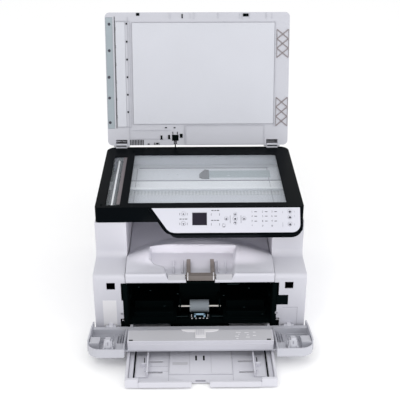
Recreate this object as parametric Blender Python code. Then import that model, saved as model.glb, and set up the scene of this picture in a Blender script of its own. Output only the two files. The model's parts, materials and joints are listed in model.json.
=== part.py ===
"""Desktop laser copier with a document-feeder lid, front door and paper cassette.

Metres, +Z up, front towards -Y. The origin is the middle of the flat underside. The lid stands
open, the door is folded down and the cassette is drawn out; each moving piece hangs from an empty
on its joint axis, so turning or sliding that empty works the joint.
"""
import math

import bmesh
import bpy
from mathutils import Matrix, Vector

# ---- driving dimensions -------------------------------------------------------------------
SCANNER_WIDTH = 0.400
SCANNER_DEPTH = 0.290
SCANNER_TOP = 0.240
SCANNER_HEIGHT = 0.032
BODY_WIDTH = SCANNER_WIDTH + 0.004
BODY_NOSE = 0.076            # how far the body stands in front of the scanner
SHELF_HEIGHT = 0.135
PILLAR_FILLET = 0.014        # where the towers' fronts meet the shelf
TOWER_WIDTH = 0.0605
BAY_HALF_WIDTH = BODY_WIDTH / 2 - TOWER_WIDTH    # half the gap between the two side towers
WALL = 0.003
GAP = 0.0003                 # seat clearance between touching pieces

# ---- scanner ------------------------------------------------------------------------------
BEZEL_THICKNESS = 0.002
SKIRT = 0.0025
GLASS_THICKNESS = 0.003
PLATEN_LEFT = -SCANNER_WIDTH / 2 + 0.0627
PLATEN_WIDTH = SCANNER_WIDTH - 0.095
PLATEN_FRONT = 0.0195        # from the scanner's front edge
PLATEN_DEPTH = 0.227
SLOT_LEFT = -SCANNER_WIDTH / 2 + 0.020
SLOT_WIDTH = 0.027
SLOT_FRONT = 0.011
SLOT_DEPTH = 0.226
GLASS_MARGIN = 0.006
RAIL_RADIUS = 0.003
RAIL_INSET = 0.120           # rail's distance behind the scanner's front edge
CARRIAGE_LENGTH = 0.018

# ---- control panel ------------------------------------------------------------------------
PANEL_TILT = math.radians(55.0)
PANEL_RIGHT = SCANNER_WIDTH / 2 - 0.008
PANEL_LEFT = PANEL_RIGHT - 0.284
PANEL_SLOPE = 0.049          # length of the slanted face
PANEL_SKEW = 0.034           # how far the left end leans in
PANEL_CORNER = 0.016
PANEL_SHEET = 0.0025
PANEL_LIP = 0.010            # upright rim below the slanted face
PANEL_RIM = 0.006            # black margin at the ends of the slanted face
KEY_TRAVEL = 0.0008
KEY_PROUD = 0.0009
KEY_GAP = 0.0004
DISPLAY_X = PANEL_RIGHT - 0.192
DISPLAY_WIDTH = 0.0285
DISPLAY_HEIGHT = 0.0249
DISPLAY_DROP = 0.0088        # below the slope's top edge
RING_X = PANEL_RIGHT - 0.1244    # middle of the arrow keys
RING_DROP = 0.0214
RING_STEP = 0.0168
VOLUME_X = PANEL_LEFT + 0.0614
VOLUME_DROPS = (0.0116, 0.0303)
START_X = PANEL_RIGHT - 0.0203
START_DROPS = (0.0082, 0.0190, 0.0325)

# ---- lid ----------------------------------------------------------------------------------
LID_WIDTH = SCANNER_WIDTH - 0.0016
LID_LENGTH = SCANNER_DEPTH - 0.0024
LID_OPEN = math.radians(104.86)
LID_PLATE = 0.006
LID_THICKNESS = 0.026
LID_CORNER = 0.010
LID_REST_GAP = 0.0019        # closed lid plate above the bezel
PAD_WIDTH = PLATEN_WIDTH + 0.003
PAD_LENGTH = 0.2185
PAD_THICKNESS = 0.0045
ADF_PAD_WIDTH = 0.020
ADF_PAD_LENGTH = 0.226
STRIP_WIDTH = 0.0145
STRIP_LENGTH = 0.2395
STRIP_THICKNESS = 0.0012
HINGE_PIN_RADIUS = 0.002
HINGE_BARREL_RADIUS = 0.0045
HINGE_WIDTH = 0.0240
HINGE_CENTRES = (-SCANNER_WIDTH / 2 + 0.031, SCANNER_WIDTH / 2 - 0.0355)
PIN_CLEARANCE = 0.0003
HINGE_PLAY = 0.0006          # between a hinge post and the notch in the lid
CHEEK = 0.005                # lid's wall beside each hinge post
PAD_FRONT = 0.2658           # front edges, measured from the lid's hinge edge
ADF_PAD_FRONT = 0.2676
STRIP_FRONT = 0.2771
CABLE_X = -0.050
CONNECTOR_HALF = 0.007
CONNECTOR_Y = (0.0230, 0.0100)

# ---- document feeder on the lid's outer side ------------------------------------------------
FEEDER_WIDTH = 0.128
FEEDER_HEIGHT = 0.046
FEEDER_DEPTH = 0.250
FEEDER_COVER = 0.024         # height of the jam cover's share
TRAY_LENGTH = 0.170
TRAY_WIDTH = 0.236
TRAY_THICKNESS = 0.003
FEED_GUIDE_HEIGHT = 0.009
FEED_ROLLER_RADIUS = 0.009
FEED_SHAFT_RADIUS = 0.0025
TRAY_INSET = 0.020           # behind the lid's front edge
TRAY_DROP = 0.008            # below the feeder's seam
FEED_GUIDE_WIDTH = 0.014
FEED_GUIDE_SHEET = 0.002

# ---- body ----------------------------------------------------------------------------------
BASE_HEIGHT = 0.028
CHANNEL_HALF_WIDTH = BAY_HALF_WIDTH - 0.004
CHANNEL_TOP = 0.0225
PAN = 0.0015
CHANNEL_LENGTH = 0.316
SILL_DEPTH = 0.010
CAVITY_BACK = 0.120          # cavity's back wall behind the scanner's front edge
CAVITY_TOP = SHELF_HEIGHT - 0.014 - WALL
DECK_LIP = 0.018             # height of the deck's front edge
LIP_RISE = 0.0025            # front edge above the shelf
CREST_RISE = 0.009
CREST_MIDDLE = 0.048         # crest behind the scanner's front edge at the centre line
CREST_SWEEP = 0.070
CREST_START = 0.050          # where the deck starts to rise, in front of the crest
CREST_FALL = 0.060
WELL_DEPTH = 0.009
WELL_LEFT = -0.061
WELL_RIGHT = 0.062
WELL_SIDE = 0.0075           # flare of the well's sides towards the back
WELL_STEP = 0.030            # the well's extra width at its back left
WELL_STEP_DEPTH = 0.057
WELL_BACK = 0.043            # behind the scanner's front edge
WELL_MOUTH = 0.0045          # well's front wall above its floor
EXIT_BACK = 0.172            # rear end of the output bay
BAY_FLOOR_DROP = 0.0135
EXIT_ROLLER_RADIUS = 0.006
EXIT_ROLLER_HEIGHT = 0.168
EXIT_ROLLER_HALF = BAY_HALF_WIDTH - 0.0115
EXIT_SLOT_HALF = BAY_HALF_WIDTH - 0.0215
EXIT_SLOT_HEIGHT = 0.024
EXIT_TYRES = (-0.075, -0.025, 0.025, 0.075)
EXIT_TYRE_WIDTH = 0.016
ROLLER_RADIUS = 0.0125
PICK_HALF_WIDTH = 0.046      # half the feed window around the pick-up roller
SHAFT_RADIUS = 0.003
TRANSFER_RADIUS = 0.008
TRANSFER_HALF = BAY_HALF_WIDTH - 0.0335
GUIDE_RAIL_HEIGHT = 0.072
GUIDE_RAIL_WIDTH = 0.005

# ---- paper stop in the output deck ------------------------------------------------------------
STOP_LEFT = -0.0255
STOP_RIGHT = 0.0280
STOP_ARM = 0.0078            # width of each arm
STOP_THICKNESS = 0.005
STOP_REACH = 0.060           # arms' length behind the body's face
STOP_PLATE = 0.010           # depth of the cross plate
STOP_SKIRT = 0.0085          # how far the front skirt hangs below the axis
STOP_PIN = 0.0014
STOP_EAR = 0.0045

# ---- pick-up roller and separation pad ----------------------------------------------------------
PICK_BACK = 0.040            # roller's axis in front of the scanner's face
PICK_HEIGHT = 0.0415
PICK_LEFT = -0.0195
PICK_RIGHT = 0.0178
BRACKET_HALF = 0.040
BRACKET_TOP = 0.082
BRACKET_SHEET = 0.004
BRACKET_ARM = 0.003
HOLDER_HALF = 0.036
HOLDER_DEPTH = 0.016
PAD_HALF = 0.0197
PAD_TOP = 0.0275

# ---- back ------------------------------------------------------------------------------------------
REAR_DOOR_X = (-0.080, 0.120)
REAR_DOOR_Z = (0.070, 0.180)
REAR_DOOR_GAP = 0.0005
INLET_X = (-0.128, -0.100)
INLET_Z = (0.045, 0.066)
INLET_DEPTH = 0.018
INLET_WALL = 0.0025
SWITCH_Z = (0.080, 0.094)

# ---- front door ------------------------------------------------------------------------------
DOOR_HALF_WIDTH = BODY_WIDTH / 2 + 0.007
DOOR_TILT = math.radians(11.0)   # the folded door rests with its free edge up
DOOR_LENGTH = 0.100
DOOR_AXIS_HEIGHT = 0.022
DOOR_AXIS_FORWARD = 0.006    # axis in front of the body's face
DOOR_UNDERSIDE = 0.008
DOOR_RIM = 0.024
DOOR_CORNER = 0.026
BRIDGE_BACK = (0.0020, 0.0212)   # in front of the axis and underside height, with the door at rest
BRIDGE_FRONT = (0.0780, 0.0237)
WING_TOP = 0.0295
WING_BACK = 0.018            # how far the wing reaches behind the axis
EAR_RADIUS = 0.0048
EAR_WIDTH = 0.008
EAR_CENTRE = BODY_WIDTH / 2 - 0.030
DOOR_PIN_RADIUS = 0.0022
BLOCK_HALF_WIDTH = BAY_HALF_WIDTH - 0.0065
BLOCK_TOP = 0.047
BLOCK_DEPTH = 0.034
LATCH_HEIGHT = 0.0175
LATCH_HALF = 0.0055
LATCH_INSET = 0.0115         # latch's middle behind the door's free edge
LATCH_HOLE = 0.016
LATCH_CENTRE = BODY_WIDTH / 2 - 0.033
LATCH_WIDTH = 0.009
WING_SHEET = 0.0027
NOTCHES = ((0.079, 0.118, 0.0085), (0.0085, 0.037, 0.012))   # low, high and depth into the tower
NOTCH_LENGTH = 0.016

# ---- cassette ----------------------------------------------------------------------------------
CASSETTE_HALF_WIDTH = CHANNEL_HALF_WIDTH - 0.002
CASSETTE_OUT = 0.160         # how far it is drawn out
CASSETTE_LENGTH = 0.296
CASSETTE_FLOOR = 0.0025
CASSETTE_WALL_HEIGHT = 0.0185
LIFT_PLATE_HALF_WIDTH = 0.058
LIFT_PLATE_LENGTH = 0.220
GUIDE_TRAVEL = 0.034
GUIDE_LENGTH = 0.062
GUIDE_FENCE = CASSETTE_HALF_WIDTH - 0.0395
GUIDE_START = 0.024          # behind the cassette's front edge
PLATE_START = 0.032
CASSETTE_SIDE = 0.0045
CASSETTE_FRONT_WALL = 0.006
CASSETTE_LIP = 0.011         # height of the lowered front edge
CASSETTE_LIP_X = (-0.112, 0.108)
GRIP_X = (-0.017, 0.015)
GRIP_DEPTH = 0.012

# ---- places worked out from the sizes above ----------------------------------------------------
BODY_DEPTH = BODY_NOSE + SCANNER_DEPTH
SCANNER_FRONT = BODY_NOSE - BODY_DEPTH / 2
SCANNER_BACK = SCANNER_FRONT + SCANNER_DEPTH
BODY_FRONT = -BODY_DEPTH / 2
SCANNER_FLOOR = SCANNER_TOP - SCANNER_HEIGHT
BODY_HALF = BODY_WIDTH / 2
BEZEL_UNDER = SCANNER_TOP - BEZEL_THICKNESS
LID_AXIS = Vector((0.0, SCANNER_BACK + 0.001, SCANNER_TOP + 0.003))
LID_UNDER = SCANNER_TOP + LID_REST_GAP
LID_BACK = SCANNER_BACK + 0.0003
LID_FRONT = LID_BACK - LID_LENGTH
LID_TOP = LID_UNDER + LID_THICKNESS
DOOR_AXIS = Vector((0.0, BODY_FRONT - DOOR_AXIS_FORWARD, DOOR_AXIS_HEIGHT))
DOOR_TOP = DOOR_RIM
DOOR_BACK = DOOR_AXIS.y - 0.002
DOOR_FRONT = DOOR_AXIS.y - DOOR_LENGTH
CASSETTE_FRONT = BODY_FRONT - CASSETTE_OUT
CASSETTE_BOTTOM = PAN + GAP

PARTS = bpy.data.collections.new("desktop_copier")
CUTTERS = bpy.data.collections.new("cutters")


# ---- helpers -----------------------------------------------------------------------------------
def clear_scene():
    for old in list(bpy.data.objects):
        bpy.data.objects.remove(old, do_unlink=True)
    bpy.context.scene.collection.children.link(PARTS)
    bpy.context.scene.collection.children.link(CUTTERS)


def material(name, colour, roughness, metallic=0.0):
    made = bpy.data.materials.new(name)
    made.use_nodes = True
    shader = made.node_tree.nodes["Principled BSDF"]
    shader.inputs["Base Color"].default_value = (*colour, 1.0)
    shader.inputs["Roughness"].default_value = roughness
    shader.inputs["Metallic"].default_value = metallic
    return made


def make_materials():
    return {
        "white": material("white_plastic", (0.80, 0.80, 0.84), 0.45),
        "cover": material("cover_plastic", (0.74, 0.74, 0.79), 0.5),
        "black": material("black_plastic", (0.02, 0.022, 0.03), 0.4),
        "liner": material("liner_plastic", (0.012, 0.012, 0.014), 0.6),
        "grey": material("grey_plastic", (0.30, 0.30, 0.33), 0.5),
        "glass": material("glass", (0.25, 0.28, 0.32), 0.05),
        "steel": material("steel", (0.55, 0.55, 0.52), 0.3, 1.0),
        "rubber": material("rubber", (0.10, 0.10, 0.10), 0.8),
        "foam": material("white_foam", (0.88, 0.88, 0.90), 0.7),
        "blue": material("blue_plastic", (0.45, 0.60, 0.75), 0.5),
        "taupe": material("taupe_plastic", (0.22, 0.19, 0.17), 0.5),
        "screen": material("display_window", (0.02, 0.03, 0.03), 0.1),
    }


def solid(name, mesh_builder, collection=PARTS):
    """One object from a bmesh builder, with its faces pointing out."""
    bm = bmesh.new()
    mesh_builder(bm)
    bmesh.ops.recalc_face_normals(bm, faces=bm.faces)
    mesh = bpy.data.meshes.new(name)
    bm.to_mesh(mesh)
    bm.free()
    made = bpy.data.objects.new(name, mesh)
    collection.objects.link(made)
    return made


def box(name, x, y, z, collection=PARTS):
    """A block between two limits along each axis."""
    def build(bm):
        middle = Vector(((x[0] + x[1]) / 2, (y[0] + y[1]) / 2, (z[0] + z[1]) / 2))
        size = (x[1] - x[0], y[1] - y[0], z[1] - z[0])
        cube = bmesh.ops.create_cube(bm, size=1.0)
        bmesh.ops.scale(bm, vec=size, verts=cube["verts"])
        bmesh.ops.translate(bm, vec=middle, verts=cube["verts"])
    return solid(name, build, collection)


def prism(name, outline, axis, low, high, collection=PARTS):
    """An outline pushed along an axis: (y, z) for X, (x, z) for Y and (x, y) for Z."""
    def corner(a, b):
        if axis == "X":
            return (low, a, b)
        if axis == "Y":
            return (a, low, b)
        return (a, b, low)

    def build(bm):
        face = bm.faces.new([bm.verts.new(corner(a, b)) for a, b in outline])
        step = [0.0, 0.0, 0.0]
        step["XYZ".index(axis)] = high - low
        pushed = bmesh.ops.extrude_face_region(bm, geom=[face])
        moved = [part for part in pushed["geom"] if isinstance(part, bmesh.types.BMVert)]
        bmesh.ops.translate(bm, vec=step, verts=moved)
    return solid(name, build, collection)


def rod(name, axis, centre, radius, low, high, segments=24, collection=PARTS):
    """A round bar along an axis; centre holds the two other coordinates in X, Y, Z order."""
    turns = {"X": (math.pi / 2, "Y"), "Y": (math.pi / 2, "X"), "Z": (0.0, "Z")}
    middle = list(centre)
    middle.insert("XYZ".index(axis), (low + high) / 2)

    def build(bm):
        made = bmesh.ops.create_cone(bm, cap_ends=True, segments=segments, radius1=radius,
                                     radius2=radius, depth=high - low)
        turn = Matrix.Rotation(turns[axis][0], 3, turns[axis][1])
        bmesh.ops.rotate(bm, cent=(0, 0, 0), matrix=turn, verts=made["verts"])
        bmesh.ops.translate(bm, vec=middle, verts=made["verts"])
    made = solid(name, build, collection)
    made.data.shade_smooth()
    made.data.set_sharp_from_angle(angle=math.radians(40))
    return made


def rounded(x, y, radii, steps=5):
    """A rectangle's outline with one corner radius each: low-low, high-low, high-high, low-high."""
    corners = ((x[0], y[0], 1, 1), (x[1], y[0], -1, 1), (x[1], y[1], -1, -1), (x[0], y[1], 1, -1))
    points = []
    for index, ((cx, cy, sx, sy), radius) in enumerate(zip(corners, radii)):
        if radius == 0:
            points.append((cx, cy))
            continue
        start = math.pi * (1 + index / 2)
        for step in range(steps + 1):
            angle = start + math.pi / 2 * step / steps
            points.append((cx + radius * (sx + math.cos(angle)), cy + radius * (sy + math.sin(angle))))
    return points


def boolean(target, tool, operation):
    """Cuts the target with a tool, or joins the tool to it, and hides the tool."""
    for holder in list(tool.users_collection):
        holder.objects.unlink(tool)
    CUTTERS.objects.link(tool)
    tool.hide_render = True
    tool.display_type = "WIRE"
    modifier = target.modifiers.new(tool.name, "BOOLEAN")
    modifier.operation = operation
    modifier.object = tool
    return target


def cut(target, *tools):
    for tool in tools:
        boolean(target, tool, "DIFFERENCE")
    return target


def join(target, *tools):
    for tool in tools:
        boolean(target, tool, "UNION")
    return target


def paint(slot, *objects):
    for made in objects:
        made.data.materials.append(MATERIALS[slot])


def pivot(name, place, turn=0.0):
    """An empty on a joint axis; turn is its angle about X."""
    empty = bpy.data.objects.new(name, None)
    PARTS.objects.link(empty)
    empty.location = place
    empty.rotation_euler = (turn, 0.0, 0.0)
    return empty


def hang(empty, home, *objects):
    """Parents pieces, drawn in their home place, to an empty whose own home is given."""
    for made in objects:
        made.parent = empty
        made.location = -Vector(home)
        for modifier in made.modifiers:
            if modifier.type == "BOOLEAN" and modifier.object.parent is None:
                modifier.object.parent = empty
                modifier.object.location = -Vector(home)


# ---- scanner -------------------------------------------------------------------------------------
def scanner_bezel():
    half = SCANNER_WIDTH / 2
    y = (SCANNER_FRONT, SCANNER_BACK)
    outer = rounded((-half, half), y, (0.006, 0.006, 0.020, 0.020))
    inner = rounded((-half + SKIRT, half - SKIRT), (y[0] + SKIRT, y[1] - SKIRT),
                    (0.004, 0.004, 0.0175, 0.0175))
    bezel = prism("scanner_bezel", outer, "Z", SCANNER_FLOOR, SCANNER_TOP)
    cut(bezel,
        prism("bezel_inside", inner, "Z", SCANNER_FLOOR - WALL, BEZEL_UNDER, CUTTERS),
        box("platen_window", (PLATEN_LEFT, PLATEN_LEFT + PLATEN_WIDTH), platen_span(),
            (BEZEL_UNDER - WALL, SCANNER_TOP + WALL), CUTTERS),
        box("feeder_window", (SLOT_LEFT, SLOT_LEFT + SLOT_WIDTH), slot_span(),
            (BEZEL_UNDER - WALL, SCANNER_TOP + WALL), CUTTERS))
    for centre in HINGE_CENTRES:
        cut(bezel, box("hinge_seat", (centre - HINGE_WIDTH / 2 - GAP, centre + HINGE_WIDTH / 2 + GAP),
                       (SCANNER_BACK - SKIRT - 0.006, SCANNER_BACK + WALL),
                       (SCANNER_FLOOR + 0.010, SCANNER_TOP + WALL), CUTTERS))
    paint("black", bezel)


def platen_span():
    front = SCANNER_FRONT + PLATEN_FRONT
    return (front, front + PLATEN_DEPTH)


def slot_span():
    front = SCANNER_FRONT + SLOT_FRONT
    return (front, front + SLOT_DEPTH)


def scanner_glass():
    top = BEZEL_UNDER - GAP
    split = (SLOT_LEFT + SLOT_WIDTH + PLATEN_LEFT) / 2
    y = platen_span()
    paint("glass", box("platen_glass", (split + GAP, PLATEN_LEFT + PLATEN_WIDTH + GLASS_MARGIN),
                       (y[0] - GLASS_MARGIN, y[1] + GLASS_MARGIN), (top - GLASS_THICKNESS, top)))
    y = slot_span()
    paint("glass", box("feeder_glass", (SLOT_LEFT - GLASS_MARGIN, split - GAP),
                       (y[0] - GLASS_MARGIN, y[1] + GLASS_MARGIN), (top - GLASS_THICKNESS, top)))


def scanner_tub():
    """The tray under the glass; its rim carries the glass."""
    half = SCANNER_WIDTH / 2 - SKIRT - GAP
    y = (SCANNER_FRONT + SKIRT + GAP, SCANNER_BACK - SKIRT - GAP)
    rim = BEZEL_UNDER - 2 * GAP - GLASS_THICKNESS
    tub = prism("scanner_tub", rounded((-half, half), y, (0.004, 0.004, 0.017, 0.017)), "Z",
                SCANNER_FLOOR, rim)
    inner = 0.007
    cut(tub, box("tub_inside", (-half + inner, half - inner), (y[0] + inner, y[1] - 4 * inner),
                 (SCANNER_FLOOR + WALL, rim + WALL), CUTTERS))
    cut(tub, rod("rail_bore", "X", (SCANNER_FRONT + RAIL_INSET, SCANNER_FLOOR + 0.012),
                 RAIL_RADIUS + GAP, -half + 0.003, half - 0.003, 16, CUTTERS))
    for centre in HINGE_CENTRES:
        cut(tub, box("tub_hinge_seat", (centre - HINGE_WIDTH / 2 - GAP, centre + HINGE_WIDTH / 2 + GAP),
                     (y[1] - 0.006, y[1] + WALL), (SCANNER_FLOOR + 0.010, rim + WALL), CUTTERS))
    paint("cover", tub)
    rail = rod("scan_rail", "X", (SCANNER_FRONT + RAIL_INSET, SCANNER_FLOOR + 0.012), RAIL_RADIUS,
               -half + 0.0035, half - 0.0035, 16)
    paint("steel", rail)


def scan_carriage():
    """The sensor bar, parked under the feeder glass, which slides to +X on its rail."""
    left = SLOT_LEFT + (SLOT_WIDTH - CARRIAGE_LENGTH) / 2
    y = slot_span()
    top = BEZEL_UNDER - 2 * GAP - GLASS_THICKNESS - 0.001
    carriage = box("scan_carriage", (left, left + CARRIAGE_LENGTH), (y[0] + 0.004, y[1] - 0.004),
                   (SCANNER_FLOOR + 0.006, top))
    cut(carriage, rod("carriage_bore", "X", (SCANNER_FRONT + RAIL_INSET, SCANNER_FLOOR + 0.012),
                      RAIL_RADIUS + GAP, left - WALL, left + CARRIAGE_LENGTH + WALL, 16, CUTTERS))
    paint("black", carriage)
    home = (left, 0, 0)
    hang(pivot("carriage_slide", home), home, carriage)


# ---- control panel -----------------------------------------------------------------------------
def panel_outline(inset=0.0):
    """The sloped face's outline, x across and y up the slope, from its lower left corner."""
    points = [(PANEL_LEFT + PANEL_SKEW + inset, inset)]
    corner = PANEL_CORNER
    for step in range(7):
        angle = -math.pi / 2 + math.pi / 2 * step / 6
        points.append((PANEL_RIGHT - corner + (corner - inset) * math.cos(angle),
                       corner + (corner - inset) * math.sin(angle)))
    points.append((PANEL_RIGHT - inset, PANEL_SLOPE - inset))
    points.append((PANEL_LEFT + inset, PANEL_SLOPE - inset))
    return points


def housing_outline(slope_low, low):
    """The housing seen from the front, as (x, z): a leaning left end and two round lower corners."""
    high = SCANNER_TOP
    lean = PANEL_SKEW / (PANEL_SLOPE * math.sin(PANEL_TILT))
    left = PANEL_LEFT - PANEL_RIM
    foot = left + lean * (high - low)
    right = PANEL_RIGHT + PANEL_RIM / 2
    turn = math.pi / 2 + math.atan(1 / lean)
    radius = PANEL_CORNER + (slope_low - low) / 2
    tangent = radius * math.tan(turn / 4)
    centre = (foot + tangent, low + radius)
    points = [(left, high)]
    for step in range(7):
        angle = -math.pi / 2 - turn / 2 * (1 - step / 6)
        points.append((centre[0] + radius * math.cos(angle), centre[1] + radius * math.sin(angle)))
    for step in range(7):
        angle = -math.pi / 2 + math.pi / 2 * step / 6
        points.append((right - radius + radius * math.cos(angle), low + radius + radius * math.sin(angle)))
    points.append((right, high))
    return points


def panel_home():
    """The slope's lower edge: its top edge meets the bezel's top front edge."""
    return Vector((0.0, SCANNER_FRONT - GAP - PANEL_SLOPE * math.cos(PANEL_TILT),
                   SCANNER_TOP - 0.001 - PANEL_SLOPE * math.sin(PANEL_TILT)))


def key_places():
    """Each key's name, middle (x, y up the slope) and radius."""
    top = PANEL_SLOPE
    ring = (RING_X, top - RING_DROP)
    back = (RING_X - 0.0216, ring[1] - 0.0128)
    keys = [("key_ok", ring, 0.0042),
            ("key_left", (ring[0] - RING_STEP, ring[1]), 0.0034),
            ("key_right", (ring[0] + RING_STEP, ring[1]), 0.0034),
            ("key_up", (ring[0], ring[1] + RING_STEP / 2), 0.0028),
            ("key_down", (ring[0], ring[1] - RING_STEP / 2), 0.0028),
            ("key_back", back, 0.0026),
            ("key_volume_up", (VOLUME_X, top - VOLUME_DROPS[0]), 0.0040),
            ("key_volume_down", (VOLUME_X, top - VOLUME_DROPS[1]), 0.0040)]
    for index, drop in enumerate(START_DROPS):
        keys.append((f"key_start_{index + 1}", (START_X, top - drop), 0.0036))
    return keys


def control_panel():
    home = panel_home()
    frame = pivot("panel_frame", home, PANEL_TILT)
    back = SCANNER_FRONT - GAP
    depth = back - home.y
    rim_bottom = home.z - PANEL_LIP
    outline = [(home.y, home.z), (home.y, rim_bottom), (back, rim_bottom),
               (back, home.z + PANEL_SLOPE * math.sin(PANEL_TILT))]
    housing = prism("panel_housing", outline, "X", PANEL_LEFT - 2 * PANEL_RIM, PANEL_RIGHT + PANEL_RIM)
    boolean(housing, prism("panel_front", housing_outline(home.z, rim_bottom), "Y",
                           home.y - depth, back + WALL, CUTTERS), "INTERSECT")
    cut(housing, box("panel_back", (PANEL_LEFT + PANEL_SKEW + 2 * PANEL_RIM, PANEL_RIGHT - 2 * PANEL_RIM),
                     (home.y + WALL, back - WALL), (rim_bottom - WALL, home.z), CUTTERS))
    paint("black", housing)
    sheet = prism("control_panel", panel_outline(0.0008), "Z", GAP, GAP + PANEL_SHEET)
    window_x = (DISPLAY_X - DISPLAY_WIDTH / 2, DISPLAY_X + DISPLAY_WIDTH / 2)
    window_y = (PANEL_SLOPE - DISPLAY_DROP - DISPLAY_HEIGHT, PANEL_SLOPE - DISPLAY_DROP)
    cut(sheet, box("display_window", window_x, window_y, (-WALL, 2 * WALL), CUTTERS))
    display = box("display", (window_x[0] + GAP, window_x[1] - GAP), (window_y[0] + GAP, window_y[1] - GAP),
                  (GAP, PANEL_SHEET - 0.0004))
    for name, (x, y), radius in key_places():
        cut(sheet, rod("hole_" + name, "Z", (x, y), radius + KEY_GAP, -WALL, 2 * WALL, 16, CUTTERS))
        key = rod(name, "Z", (x, y), radius, GAP + KEY_TRAVEL + GAP, PANEL_SHEET + KEY_PROUD, 16)
        paint("grey", key)
        key.parent = frame
    paint("cover", sheet)
    paint("screen", display)
    for made in (sheet, display):
        made.parent = frame
    for modifier in sheet.modifiers:
        modifier.object.parent = frame


# ---- lid -----------------------------------------------------------------------------------------
def lid():
    """Drawn closed; the lid's empty turns it open."""
    half = LID_WIDTH / 2
    plan = rounded((-half, half), (LID_FRONT, LID_BACK), (LID_CORNER,) * 4)
    plate = prism("lid_plate", plan, "Z", LID_UNDER, LID_UNDER + LID_PLATE)
    seam = LID_UNDER + LID_PLATE + GAP
    cover = prism("lid_cover", plan, "Z", seam, LID_TOP)
    inner = rounded((-half + WALL, half - WALL), (LID_FRONT + WALL, LID_BACK - WALL),
                    (LID_CORNER - WALL,) * 4)
    cut(cover, prism("cover_inside", inner, "Z", seam - WALL, LID_TOP - WALL, CUTTERS))
    for index, centre in enumerate(HINGE_CENTRES):
        notch = (centre - HINGE_WIDTH / 2 - HINGE_PLAY, centre + HINGE_WIDTH / 2 + HINGE_PLAY)
        depth = (LID_BACK - 0.0125, LID_BACK + WALL)
        cut(plate, box(f"plate_notch_{index}", notch, depth, (LID_UNDER - WALL, seam + WALL), CUTTERS))
        cut(cover, box(f"cover_notch_{index}", notch, (LID_BACK - WALL - GAP, LID_BACK + WALL),
                       (seam - WALL, seam + 0.004), CUTTERS))
    cut(plate, box("cable_notch", (CABLE_X - 0.0035, CABLE_X + 0.0035), (LID_BACK - 0.0095, LID_BACK + WALL),
                   (LID_UNDER - WALL, seam + WALL), CUTTERS))
    pin_span = HINGE_WIDTH / 2 + HINGE_PLAY + CHEEK
    for index, centre in enumerate(HINGE_CENTRES):
        for side in (-1, 1):
            low, high = sorted((centre + side * (pin_span - CHEEK), centre + side * pin_span))
            join(plate, box(f"cheek_{index}_{side}", (low, high), (LID_BACK - 0.006, LID_AXIS.y + 0.003),
                            (LID_UNDER, LID_UNDER + LID_PLATE), CUTTERS))
        join(plate, rod(f"pin_{index}", "X", LID_AXIS.yz, HINGE_PIN_RADIUS,
                        centre - pin_span + 0.001, centre + pin_span - 0.001, 16, CUTTERS))
    pieces = [plate, cover]
    pad_left = PLATEN_LEFT - 0.004
    pad_front = LID_BACK - PAD_FRONT
    pad_bottom = SCANNER_TOP + 0.0004
    pad_span = (pad_left, pad_left + PAD_WIDTH)
    pad_depth = (pad_front, pad_front + PAD_LENGTH)
    cut(plate, box("pad_pocket", (pad_span[0] - GAP, pad_span[1] + GAP),
                   (pad_depth[0] - GAP, pad_depth[1] + GAP),
                   (LID_UNDER - WALL, pad_bottom + PAD_THICKNESS + GAP), CUTTERS))
    pad = box("pressure_pad", pad_span, pad_depth, (pad_bottom, pad_bottom + PAD_THICKNESS))
    paint("foam", pad)
    window_middle = SLOT_LEFT + SLOT_WIDTH / 2
    window = (window_middle - ADF_PAD_WIDTH / 2, window_middle + ADF_PAD_WIDTH / 2)
    reach = (LID_BACK - ADF_PAD_FRONT, LID_BACK - ADF_PAD_FRONT + ADF_PAD_LENGTH)
    cut(plate, box("feeder_pocket", (window[0] - GAP, window[1] + GAP), (reach[0] - GAP, reach[1] + GAP),
                   (LID_UNDER - WALL, LID_UNDER + 0.004), CUTTERS))
    feeder_pad = box("feeder_pad", window, reach, (SCANNER_TOP + 0.0006, LID_UNDER + 0.004 - GAP))
    paint("foam", feeder_pad)
    strip_x = (-half + 0.0015, -half + 0.0015 + STRIP_WIDTH)
    strip_y = (LID_BACK - STRIP_FRONT, LID_BACK - STRIP_FRONT + STRIP_LENGTH)
    cut(plate, box("strip_pocket", (strip_x[0] - GAP, strip_x[1] + GAP),
                   (strip_y[0] - GAP, strip_y[1] + GAP),
                   (LID_UNDER - WALL, LID_UNDER + STRIP_THICKNESS), CUTTERS))
    strip = box("lid_strip", strip_x, strip_y, (LID_UNDER - 0.0004, LID_UNDER + STRIP_THICKNESS - GAP))
    paint("steel", strip)
    plug_x = (CABLE_X - CONNECTOR_HALF, CABLE_X + CONNECTOR_HALF)
    plug_y = (LID_BACK - CONNECTOR_Y[0], LID_BACK - CONNECTOR_Y[1])
    cut(plate, box("plug_pocket", (plug_x[0] - GAP, plug_x[1] + GAP), (plug_y[0] - GAP, plug_y[1] + GAP),
                   (LID_UNDER - WALL, LID_UNDER + 0.003 + GAP), CUTTERS))
    plug = box("lid_connector", plug_x, plug_y, (LID_UNDER - 0.0008, LID_UNDER + 0.003))
    paint("black", plug)
    paint("white", plate, cover)
    pieces += [pad, feeder_pad, strip, plug]
    pieces += feeder()
    empty = pivot("lid_hinge", LID_AXIS, -LID_OPEN)
    hang(empty, LID_AXIS, *pieces)
    feeder_movers(empty)


def hinge_posts():
    for index, centre in enumerate(HINGE_CENTRES):
        x = (centre - HINGE_WIDTH / 2, centre + HINGE_WIDTH / 2)
        axis = LID_AXIS.yz
        post = rod(f"hinge_post_{index + 1}", "X", axis, HINGE_BARREL_RADIUS, *x)
        join(post, box(f"post_leg_{index}", x, (SCANNER_BACK - SKIRT - 0.005, SCANNER_BACK - GAP),
                       (SCANNER_FLOOR + 0.010 + GAP, axis[1]), CUTTERS))
        cut(post, rod(f"post_bore_{index}", "X", axis, HINGE_PIN_RADIUS + PIN_CLEARANCE,
                      x[0] - WALL, x[1] + WALL, 24, CUTTERS))
        paint("black", post)


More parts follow.
